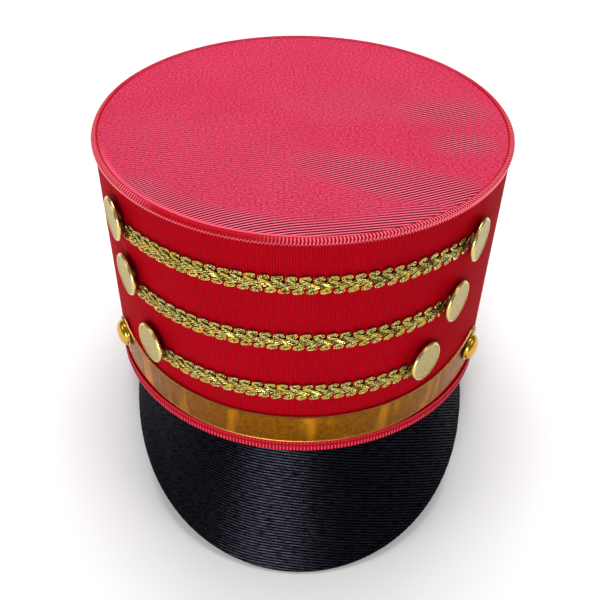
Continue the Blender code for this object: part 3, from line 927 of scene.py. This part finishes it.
peak_mesh = run_tree("peak_cloth", raised_ribs, peak_mesh, Material=black_faille)
peak = put_piece("peak_cloth", peak_mesh, points_of(peak_mesh), black_faille)
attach(peak, "root")
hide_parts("peak")


# Gold strap
# A band of gold metallised vinyl, folded to a bead along both edges and laid round the lower front,
# with its rounded ends under the domed buttons. The foil is streaked and slightly creased.

STRAP_WIDTH = 0.0166
STRAP_THICKNESS = 0.0012
STRAP_RISE = 0.0090
STRAP_TAIL = 0.0105
STRAP_BUTTONS = {"left": (radians(-63.9), 0.0285), "right": (radians(59.7), 0.0259)}


def strap_height(angle):
    left, right = STRAP_BUTTONS["left"][0], STRAP_BUTTONS["right"][0]
    share = np.abs((angle - (left + right) / 2) / ((right - left) / 2))
    return BINDING_HEIGHT + GAP + STRAP_WIDTH / 2 + STRAP_RISE * share**3


left = STRAP_BUTTONS["left"][0] - STRAP_TAIL / CROWN_BOTTOM_RADIUS
right = STRAP_BUTTONS["right"][0] + STRAP_TAIL / CROWN_BOTTOM_RADIUS
half = STRAP_WIDTH / 2
rounding = half / CROWN_BOTTOM_RADIUS
turn = 1 - np.cos(pi / 2 * (np.arange(12) + 0.35) / 12)
angle = np.concatenate(
    [
        left + rounding * turn,
        np.linspace(left + rounding, right - rounding, 321),
        right - rounding * turn[::-1],
    ]
)
inside = np.minimum(np.minimum(angle - left, right - angle), rounding)
reach = half * np.sqrt(1 - (1 - inside / rounding) ** 2)
# Across the strap, from its lower edge to its upper: place as a share of half the width, and off.
across = np.array([-1.0, -1.0, -0.992, -0.975, -0.955, -0.935, -0.905, -0.85, -0.6, -0.4, -0.2])
off = np.array([0.0, 0.60, 0.84, 0.95, 0.92, 0.82, 0.76, 0.78, 0.82, 0.85, 0.87])
across = np.concatenate([across, [0.0], -across[::-1]])
off = np.concatenate([off, [0.86], off[::-1]])
crease = 0.00006 * np.sin(angle * 61 + 2.0 * np.sin(angle * 17)) + 0.00004 * np.sin(angle * 143)
off = GAP + STRAP_THICKNESS * off[None, :] + crease[:, None] * (np.abs(across) < 0.85)
rise = strap_height(angle)[:, None] + reach[:, None] * across[None, :]
points = on_crown(angle[:, None], rise, off)
run = (angle - left) * CROWN_BOTTOM_RADIUS
marks = np.stack(np.broadcast_arrays(run[:, None], half * across[None, :]), axis=-1)
marks = np.concatenate([marks, marks[:, :1]], axis=1) * 1000
strap_mesh = grid_mesh("strap_foil", points, marks, wrap_columns=True, caps=True)

# Metallised vinyl: a thin gold coat on plastic, a soft mirror with streaks. Roughness about 0.3.
gold_foil, tree, shader = new_material("gold_foil", Metallic=1.0)
cloth = add(tree, "ShaderNodeUVMap", uv_map="UVMap")
split = add(tree, "ShaderNodeSeparateXYZ", {0: cloth})
stretch = add(tree, "ShaderNodeMapping", {"Vector": cloth, "Scale": (0.50, 0.36, 1.0)})
streaks = {"Scale": 1.0, "Detail": 8.0, "Roughness": 0.78, "Distortion": 0.6}
streak = add(tree, "ShaderNodeTexNoise", {"Vector": stretch, **streaks})
# Painted highlights: broad soft pools of paler gold along the strap, standing in for reflections of
# the lights.
spread = {"Location": (-0.9, 0, 0), "Scale": (0.08, 0.02, 1)}
stretch = add(tree, "ShaderNodeMapping", {"Vector": cloth, **spread})
highlight_pool = add(tree, "ShaderNodeTexNoise", {"Vector": stretch, "Scale": 1.0, "Detail": 2.0})
mottled = {"Scale": 0.75, "Detail": 6.0, "Roughness": 0.7}
mottle = add(tree, "ShaderNodeTexNoise", {"Vector": cloth, **mottled})
sharp = add(tree, "ShaderNodeMapRange", {"Value": streak, "From Min": 0.35, "From Max": 0.68})
painted_highlight = add(tree, "ShaderNodeMapRange", {"Value": highlight_pool, "From Min": 0.52, "From Max": 0.72})
dull = add(tree, "ShaderNodeMapRange", {"Value": mottle, "From Min": 0.5, "From Max": 0.75})
side = add(tree, "ShaderNodeMath", {0: split.outputs[1]}, operation="ABSOLUTE")
bead = add(tree, "ShaderNodeMapRange", {"Value": side, "From Min": 7.75, "From Max": 7.95})
gold = layered(
    tree,
    "#6C3E02",
    (sharp, "#A46404"),
    (painted_highlight, "#D48A1C"),
    (dull, "#6C4A04"),
    (bead, "#C89858"),
)
rubbed = {"From Min": 0.3, "From Max": 0.7, "To Min": 0.22, "To Max": 0.42}
rough = add(tree, "ShaderNodeMapRange", {"Value": streak, **rubbed})
tree.links.new(rough.outputs[0], shader.inputs["Roughness"])
height = add(tree, "ShaderNodeMath", {0: streak, 1: mottle}, operation="ADD")
finish(tree, shader, gold, height, strength=0.35, distance=0.0004)
strap = put_piece("strap_foil", strap_mesh, points_of(strap_mesh), gold_foil)
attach(strap, "root")
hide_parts("gold_strap")


# Looped braids
# Three rows of gold gimp braid: three flat cords, each of metallic threads side by side, plaited so
# that every cord turns in a small round loop at the edges. Sewn on between the buttons.

BRAID_THICKNESS = 0.0018
BRAID_PITCH = 0.0056
BRAID_REACH = 0.00384
BRAID_LOOP_PULL = 1.38
BRAID_WEAVE = 0.00042
CORDS = 3
WIRES_A_CORD = 2
WIRE_RADIUS = 0.00029
WIRE_SPACING = 0.00068
CORE_WIRES = 3
CORE_SPACING = 0.00082
BRAID_LOOSENESS = 0.0006
BRAID_STEP = 0.00015
SHANK_RADIUS = 0.0022
# The braid's middle stands this far off the wall, and its ends stop this far short of a shank.
BRAID_OFF = GAP + 0.00104
BRAID_SHORT = 0.0025
# The threads stay bright on the side that faces out and up, in a braid laid out straight; their
# other sides are painted dark, as painted shade where less light falls.
BRAID_LIT_SIDE = np.array([0.0, 0.50, 0.87])
# Each row's height at the front, and how much higher its ends are.
BRAID_ROWS = {
    "upper": (0.1008, 0.0008),
    "middle": (0.0698, 0.0030),
    "lower": (0.0397, 0.0024),
}

# Metallic thread: a flat gilt strip wound on a core. Its random bright and dark speckle, brighter
# on each turn, is painted highlight and shade standing in for reflections. Roughness about 0.25.
gilt_thread, tree, shader = new_material("gilt_thread", Metallic=1.0, Roughness=0.24)
place = add(tree, "ShaderNodeTexCoord").outputs["Object"]
wound_and_glints = add(tree, "ShaderNodeTexNoise", {"Vector": place, "Scale": 1500.0, "Detail": 1.0})
tone = add(tree, "ShaderNodeTexNoise", {"Vector": place, "Scale": 240.0, "Detail": 2.0})
sharp = add(tree, "ShaderNodeMapRange", {"Value": wound_and_glints, "From Min": 0.40, "From Max": 0.60})
warm = add(tree, "ShaderNodeMapRange", {"Value": tone, "From Min": 0.45, "From Max": 0.7})
# Painted shade: each thread is coloured dark on the sides turned from the light, which draws a dark
# edge along it.
braid_painted_shade = add(tree, "ShaderNodeAttribute", attribute_name="braid_painted_shade")
dark = (braid_painted_shade.outputs["Fac"], "#241A04")
gold = layered(tree, "#604802", (sharp, "#FFF49A"), (warm, "#E4C648"), dark)
finish(tree, shader, gold, wound_and_glints, strength=0.5)

# One braid, laid out straight: x along it, y up, z off the wall.
tree, given, end = new_tree(
    "looped_braid",
    Length=0.1,
    Pitch=0.005,
    Reach=0.003,
    Loop_Pull=1.3,
    Weave=0.0004,
    Cords=3,
    Wires=3,
    Wire_Radius=0.0002,
    Wire_Spacing=0.0004,
    Core_Wires=2,
    Core_Spacing=0.0004,
    Looseness=0.0,
    Step=0.0002,
    Material=None,
)
size = given.outputs
whole = add(tree, "ShaderNodeCombineXYZ", {0: size["Length"]})
line = add(tree, "GeometryNodeCurvePrimitiveLine", {"End": whole})
count = add(tree, "ShaderNodeMath", {0: size["Length"], 1: size["Step"]}, operation="DIVIDE")
line = add(tree, "GeometryNodeResampleCurve", {"Curve": line, "Count": count})
cords = {"Geometry": line, "Amount": size["Cords"]}
cords = add(tree, "GeometryNodeDuplicateElements", cords, domain="SPLINE")
share = add(tree, "GeometryNodeSplineParameter")
repeat = add(tree, "ShaderNodeMath", {0: size["Pitch"], 1: size["Cords"]}, operation="MULTIPLY")
turns = add(tree, "ShaderNodeMath", {0: size["Length"], 1: repeat}, operation="DIVIDE")
turns = add(tree, "ShaderNodeMath", {0: turns, 1: 2 * pi}, operation="MULTIPLY")
start = cords.outputs["Duplicate Index"]
start = add(tree, "ShaderNodeMath", {0: start, 1: size["Cords"]}, operation="DIVIDE")
start = add(tree, "ShaderNodeMath", {0: start, 1: 2 * pi}, operation="MULTIPLY")
turn = add(tree, "ShaderNodeMath", {0: share, 1: turns, 2: start}, operation="MULTIPLY_ADD")
twice = add(tree, "ShaderNodeMath", {0: turn, 1: 2.0}, operation="MULTIPLY")
swing = add(tree, "ShaderNodeMath", {0: twice}, operation="SINE")
pull = add(tree, "ShaderNodeMath", {0: repeat, 1: size["Loop Pull"]}, operation="MULTIPLY")
pull = add(tree, "ShaderNodeMath", {0: pull, 1: -1 / (2 * pi)}, operation="MULTIPLY")
along = add(tree, "ShaderNodeMath", {0: share, 1: size["Length"]}, operation="MULTIPLY")
along = add(tree, "ShaderNodeMath", {0: swing, 1: pull, 2: along}, operation="MULTIPLY_ADD")
up = add(tree, "ShaderNodeMath", {0: turn}, operation="COSINE")
up = add(tree, "ShaderNodeMath", {0: up, 1: size["Reach"]}, operation="MULTIPLY")
out = add(tree, "ShaderNodeMath", {0: swing, 1: size["Weave"]}, operation="MULTIPLY")
path = add(tree, "ShaderNodeCombineXYZ", {0: along, 1: up, 2: out})
looped = add(tree, "GeometryNodeSetPosition", {"Geometry": cords, "Position": path})
where = add(tree, "GeometryNodeInputPosition")
stray = add(tree, "ShaderNodeTexNoise", {"Vector": where, "Scale": 330.0, "Detail": 1.0})
stray = {0: stray.outputs["Color"], 1: (0.5, 0.5, 0.5)}
stray = add(tree, "ShaderNodeVectorMath", stray, operation="SUBTRACT")
stray = add(tree, "ShaderNodeVectorMath", {0: stray, 3: size["Looseness"]}, operation="SCALE")
looped = add(tree, "GeometryNodeSetPosition", {"Geometry": looped, "Offset": stray})
looped = add(tree, "GeometryNodeSetCurveNormal", {"Curve": looped}, mode="Z_UP")
wires = {"Geometry": looped, "Amount": size["Wires"]}
wires = add(tree, "GeometryNodeDuplicateElements", wires, domain="SPLINE")
last = add(tree, "ShaderNodeMath", {0: size["Wires"], 1: 1.0}, operation="SUBTRACT")
half = add(tree, "ShaderNodeMath", {0: last, 1: 0.5}, operation="MULTIPLY")
off = wires.outputs["Duplicate Index"]
off = add(tree, "ShaderNodeMath", {0: off, 1: half}, operation="SUBTRACT")
off = add(tree, "ShaderNodeMath", {0: off, 1: size["Wire Spacing"]}, operation="MULTIPLY")
aside = add(tree, "GeometryNodeInputNormal")
aside = add(tree, "ShaderNodeVectorMath", {0: aside, 3: off}, operation="SCALE")
laid = add(tree, "GeometryNodeSetPosition", {"Geometry": wires, "Offset": aside})
section = {"Resolution": 6, "Radius": size["Wire Radius"]}
section = add(tree, "GeometryNodeCurvePrimitiveCircle", section)
threads = {"Curve": laid, "Profile Curve": section, "Fill Caps": True}
threads = add(tree, "GeometryNodeCurveToMesh", threads)
# The core: nearly straight threads along the middle, each waving a little over and under.
core = {"Geometry": line, "Amount": size["Core Wires"]}
core = add(tree, "GeometryNodeDuplicateElements", core, domain="SPLINE")
which = core.outputs["Duplicate Index"]
last = add(tree, "ShaderNodeMath", {0: size["Core Wires"], 1: 1.0}, operation="SUBTRACT")
half = add(tree, "ShaderNodeMath", {0: last, 1: 0.5}, operation="MULTIPLY")
up = add(tree, "ShaderNodeMath", {0: which, 1: half}, operation="SUBTRACT")
turn = add(tree, "ShaderNodeMath", {0: turns, 1: share}, operation="MULTIPLY")
turn = add(tree, "ShaderNodeMath", {0: turn, 1: 3.0, 2: which}, operation="MULTIPLY_ADD")
wave = add(tree, "ShaderNodeMath", {0: turn}, operation="SINE")
up = add(tree, "ShaderNodeMath", {0: wave, 1: 0.35, 2: up}, operation="MULTIPLY_ADD")
up = add(tree, "ShaderNodeMath", {0: up, 1: size["Core Spacing"]}, operation="MULTIPLY")
wave = add(tree, "ShaderNodeMath", {0: turn}, operation="COSINE")
out = add(tree, "ShaderNodeMath", {0: wave, 1: 0.6, 2: 0.7}, operation="MULTIPLY_ADD")
out = add(tree, "ShaderNodeMath", {0: out, 1: size["Weave"]}, operation="MULTIPLY")
off = add(tree, "ShaderNodeCombineXYZ", {1: up, 2: out})
core = add(tree, "GeometryNodeSetPosition", {"Geometry": core, "Offset": off})
core = {"Curve": core, "Profile Curve": section, "Fill Caps": True}
core = add(tree, "GeometryNodeCurveToMesh", core)
joined = add(tree, "GeometryNodeJoinGeometry", {"Geometry": threads})
tree.links.new(core.outputs[0], joined.inputs[0])
end_tree(tree, given, end, joined)
looped_braid = tree

for row, (front_height, end_rise) in BRAID_ROWS.items():
    left, right = FLAT_BUTTONS[row + "_left"][0], FLAT_BUTTONS[row + "_right"][0]
    radius = crown_radius(front_height)
    shank = (SHANK_RADIUS + BRAID_SHORT) / radius
    length = (right - left - 2 * shank) * radius
    loops = round(length / BRAID_PITCH)
    braid_mesh = run_tree(
        "braid_" + row + "_gimp",
        looped_braid,
        Length=length,
        Pitch=length / loops,
        Reach=BRAID_REACH,
        Loop_Pull=BRAID_LOOP_PULL,
        Weave=BRAID_WEAVE,
        Cords=CORDS,
        Wires=WIRES_A_CORD,
        Wire_Radius=WIRE_RADIUS,
        Wire_Spacing=WIRE_SPACING,
        Core_Wires=CORE_WIRES,
        Core_Spacing=CORE_SPACING,
        Looseness=BRAID_LOOSENESS,
        Step=BRAID_STEP,
        Material=gilt_thread,
    )
    # Painted shade: the threads' sides that face away from out and up are coloured dark.
    normals = np.empty(len(braid_mesh.vertices) * 3, np.float32)
    braid_mesh.vertex_normals.foreach_get("vector", normals)
    lit_facing = normals.reshape(-1, 3) @ BRAID_LIT_SIDE
    put_attribute(braid_mesh, "braid_painted_shade", 1 - eased(lit_facing, 0.0, 0.42))
    x, y, z = points_of(braid_mesh).T
    angle = left + shank + x / radius
    share = (angle - (left + right) / 2) / ((right - left) / 2)
    level = front_height + end_rise * share**4 + y
    points = on_crown(angle, level, BRAID_OFF + z)
    braid = put_piece("braid_" + row + "_gimp", braid_mesh, points, gilt_thread)
    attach(braid, "root")
    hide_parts("braid_" + row)


# Flat buttons
# Six struck brass buttons, lacquered a pale gold, with a bevelled edge, a bright narrow lip and a
# plain satin face. Each is sewn on by a shank, over the end of a braid.

BUTTON_RADIUS = 0.0100
BUTTON_THICKNESS = 0.0018
BUTTON_UNDER = GAP + BRAID_THICKNESS + GAP
BUTTON_SEGMENTS = 96


def turned_mesh(name, profile, segments):
    """A piece turned round Z from its (radius, height) profile."""
    profile = np.array(profile)
    turn = 2 * pi * np.arange(segments) / segments
    x = profile[None, :, 0] * np.cos(turn)[:, None]
    y = profile[None, :, 0] * np.sin(turn)[:, None]
    points = np.stack([x, y, np.broadcast_to(profile[None, :, 1], x.shape)], axis=-1)
    marks = np.concatenate([points[:, :, :2], points[:1, :, :2]], axis=0) * 1000
    return grid_mesh(name, points, marks, wrap_rows=True)


def seated(points, angle, height, tilt=0.0):
    """Stands points on the crown's wall, with their Z square to it or tilted to the side."""
    share = np.clip(points[:, 2:] / BUTTON_UNDER, 0.0, 1.0)
    turn = np.array([[cos(tilt), 0, -sin(tilt)], [0, 1, 0], [sin(tilt), 0, cos(tilt)]])
    points = points * (1 - share) + points @ turn * share
    foot = on_crown(angle, height, 0.0)
    outward = on_crown(angle, height, 1.0) - foot
    across = np.array([cos(angle), sin(angle), 0.0])
    up = np.cross(outward, across)
    return foot + points @ np.stack([across, up, outward])


top = BUTTON_UNDER + BUTTON_THICKNESS
profile = [(0.0, top - 0.00030)]
profile += [(r, top - 0.00030) for r in (0.0030, 0.0060, 0.0083)]
profile += [
    (0.00862, top - 0.00029),
    (0.00880, top - 0.00022),
    (0.00892, top - 0.00008),
    (0.00904, top - 0.00001),
    (0.00918, top),
    (0.00932, top - 0.00004),
    (0.00942, top - 0.00010),
    (0.00955, top - 0.00024),
    (0.00980, top - 0.00050),
    (0.00994, top - 0.00078),
    (BUTTON_RADIUS, top - 0.00105),
    (0.00996, BUTTON_UNDER + 0.00030),
    (0.00978, BUTTON_UNDER + 0.00008),
    (0.00940, BUTTON_UNDER),
    (0.00240, BUTTON_UNDER),
    (0.00220, BUTTON_UNDER - 0.0002),
    (0.00220, GAP),
    (0.0, GAP),
]
# Lacquered brass: pale gold, satin on the face and polished by wear on lip and edge. Roughness
# 0.20 to 0.44.
pale_brass, tree, shader = new_material("lacquered_brass", Metallic=1.0)
cloth = add(tree, "ShaderNodeUVMap", uv_map="UVMap")
far = add(tree, "ShaderNodeVectorMath", {0: cloth}, operation="LENGTH").outputs["Value"]
brush = add(tree, "ShaderNodeTexNoise", {"Vector": cloth, "Scale": 0.55, "Detail": 4.0})
fine = add(tree, "ShaderNodeTexNoise", {"Vector": cloth, "Scale": 3.0, "Detail": 2.0})
worn = add(tree, "ShaderNodeMapRange", {"Value": far, "From Min": 8.8, "From Max": 9.1})
gold = layered(tree, "#8A7640", (brush, "#D4C488"), (worn, "#DCC47C"))
polished = {"From Min": 8.7, "From Max": 9.1, "To Min": 0.44, "To Max": 0.20}
rough = add(tree, "ShaderNodeMapRange", {"Value": far, **polished})
tree.links.new(rough.outputs[0], shader.inputs["Roughness"])
height = add(tree, "ShaderNodeMath", {0: fine, 1: 0.4, 2: brush}, operation="MULTIPLY_ADD")
finish(tree, shader, gold, height, strength=0.25, distance=0.0004)

# Each leans outward, because the end of the braid lifts its inner side.
BUTTON_TILTS = {"left": radians(-9.0), "right": radians(12.0)}
for label, (angle, height) in FLAT_BUTTONS.items():
    button_mesh = turned_mesh("button_" + label + "_face", profile, BUTTON_SEGMENTS)
    tilt = BUTTON_TILTS[label.split("_")[1]]
    points = seated(points_of(button_mesh), angle, height, tilt)
    button = put_piece("button_" + label + "_face", button_mesh, points, pale_brass)
    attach(button, "root")
    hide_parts("button_" + label)


# Strap buttons
# Two small domed brass buttons, pressed from sheet and polished, with a thin flat brim. Each holds
# an end of the strap.

DOME_RADIUS = 0.0072
DOME_HEIGHT = 0.0042
DOME_BRIM = 0.0008
DOME_SEGMENTS = 64
seat = GAP + STRAP_THICKNESS + GAP
turn = np.linspace(0.0, pi / 2, 15)[:-1]
dome = DOME_RADIUS - DOME_BRIM
profile = [(dome * sin(t), seat + DOME_BRIM + (DOME_HEIGHT - DOME_BRIM) * cos(t)) for t in turn]
profile += [
    (dome + 0.00002, seat + DOME_BRIM * 0.95),
    (dome + 0.00025, seat + DOME_BRIM * 0.80),
    (DOME_RADIUS - 0.0001, seat + DOME_BRIM * 0.72),
    (DOME_RADIUS, seat + DOME_BRIM * 0.5),
    (DOME_RADIUS - 0.0001, seat + DOME_BRIM * 0.2),
    (DOME_RADIUS - 0.0004, seat),
    (0.0, seat),
]
# Polished brass: a warm mirror with slight handling marks. Roughness 0.10 to 0.24.
polished_brass, tree, shader = new_material("polished_brass", Metallic=1.0)
cloth = add(tree, "ShaderNodeUVMap", uv_map="UVMap")
marks = add(tree, "ShaderNodeTexNoise", {"Vector": cloth, "Scale": 0.7, "Detail": 4.0})
handled = {"From Min": 0.3, "From Max": 0.7, "To Min": 0.10, "To Max": 0.24}
rough = add(tree, "ShaderNodeMapRange", {"Value": marks, **handled})
tree.links.new(rough.outputs[0], shader.inputs["Roughness"])
finish(tree, shader, layered(tree, "#B07C18", (marks, "#E8C050")))
for side, (angle, height) in STRAP_BUTTONS.items():
    dome_mesh = turned_mesh("strap_button_" + side + "_dome", profile, DOME_SEGMENTS)
    points = seated(points_of(dome_mesh), angle, height)
    button = put_piece("strap_button_" + side + "_dome", dome_mesh, points, polished_brass)
    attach(button, "root")
    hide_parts("strap_button_" + side)


# Floor, light and camera
# A plain pale floor, large soft lights from the left, the right and above, and the photograph's
# viewpoint, in front of the hat and well above it.

FLOOR_REACH = 6.0
floor_mesh = bpy.data.meshes.new("floor")
corners = [(a * FLOOR_REACH, b * FLOOR_REACH, 0.0) for a, b in ((-1, -1), (1, -1), (1, 1), (-1, 1))]
floor_mesh.from_pydata(corners, [], [(0, 1, 2, 3)])
floor = bpy.data.objects.new("floor", floor_mesh)
bpy.context.scene.collection.objects.link(floor)

# Matt white backdrop paper, hardly clouded. IOR 1.5, roughness about 0.9.
pale_paper, tree, shader = new_material("pale_paper", Roughness=0.9, IOR=1.5)
place = add(tree, "ShaderNodeTexCoord").outputs["Object"]
cloudy = add(tree, "ShaderNodeTexNoise", {"Vector": place, "Scale": 0.5, "Detail": 1.0})
finish(tree, shader, layered(tree, "#F8F8F8", (cloudy, "#FCFCFC")))
floor_mesh.materials.append(pale_paper)

world = bpy.data.worlds.new("studio")
bpy.context.scene.world = world
world.use_nodes = True
background = world.node_tree.nodes["Background"]
background.inputs["Color"].default_value = (1.0, 1.0, 1.0, 1.0)
background.inputs["Strength"].default_value = 0.28

# Each light's place, what it is aimed at, its width in metres, and its watts.
LIGHTS = {
    "key_softbox": ((-0.36, -1.60, 0.62), (0.0, 0.0, 0.08), 0.80, 16.0),
    "side_softbox": ((-1.5, -0.1, 1.0), (0.0, 0.0, 0.08), 0.8, 3.0),
    "fill_softbox": ((1.4, -0.3, 1.2), (0.0, 0.0, 0.08), 0.9, 3.0),
    "top_softbox": ((0.0, 0.85, 1.5), (0.0, 0.0, 0.15), 1.0, 27.0),
}
for label, (place, target, width, watts) in LIGHTS.items():
    light = bpy.data.lights.new(label, "AREA")
    light.size = width
    light.energy = watts
    lamp = bpy.data.objects.new(label, light)
    lamp.location = place
    aim = Vector(target) - Vector(place)
    lamp.rotation_euler = aim.to_track_quat("-Z", "Y").to_euler()
    bpy.context.scene.collection.objects.link(lamp)

# The viewpoint, in the hat's own axes in metres, and its right, up and forward directions.
CAMERA_PLACE = (-0.00844, -0.39409, 0.33226)
CAMERA_RIGHT = (0.9998, -0.0094, 0.0156)
CAMERA_UP = (-0.0063, 0.6267, 0.7793)
CAMERA_FORWARD = (0.0171, 0.7792, -0.6265)
# The lens, as its focal length in pixels of the 600 pixel wide photograph.
FOCAL_PIXELS = 941.8
PHOTO_PIXELS = 600.0
SENSOR_WIDTH = 36.0

# The Standard view keeps the saturated reds, which the default view greys.
bpy.context.scene.view_settings.view_transform = "Standard"
camera_data = bpy.data.cameras.new("photo_view")
camera_data.sensor_width = SENSOR_WIDTH
camera_data.lens = SENSOR_WIDTH * FOCAL_PIXELS / PHOTO_PIXELS
camera = bpy.data.objects.new("photo_view", camera_data)
right, up, ahead = (
    Vector(stand(v) - REST_SHIFT).normalized() for v in (CAMERA_RIGHT, CAMERA_UP, CAMERA_FORWARD)
)
up = (up - up.dot(ahead) * ahead).normalized()
right = ahead.cross(up)
turned = Matrix((right, up, -ahead)).transposed().to_4x4()
camera.matrix_world = Matrix.Translation(Vector(stand(CAMERA_PLACE))) @ turned
bpy.context.scene.collection.objects.link(camera)
bpy.context.scene.camera = camera
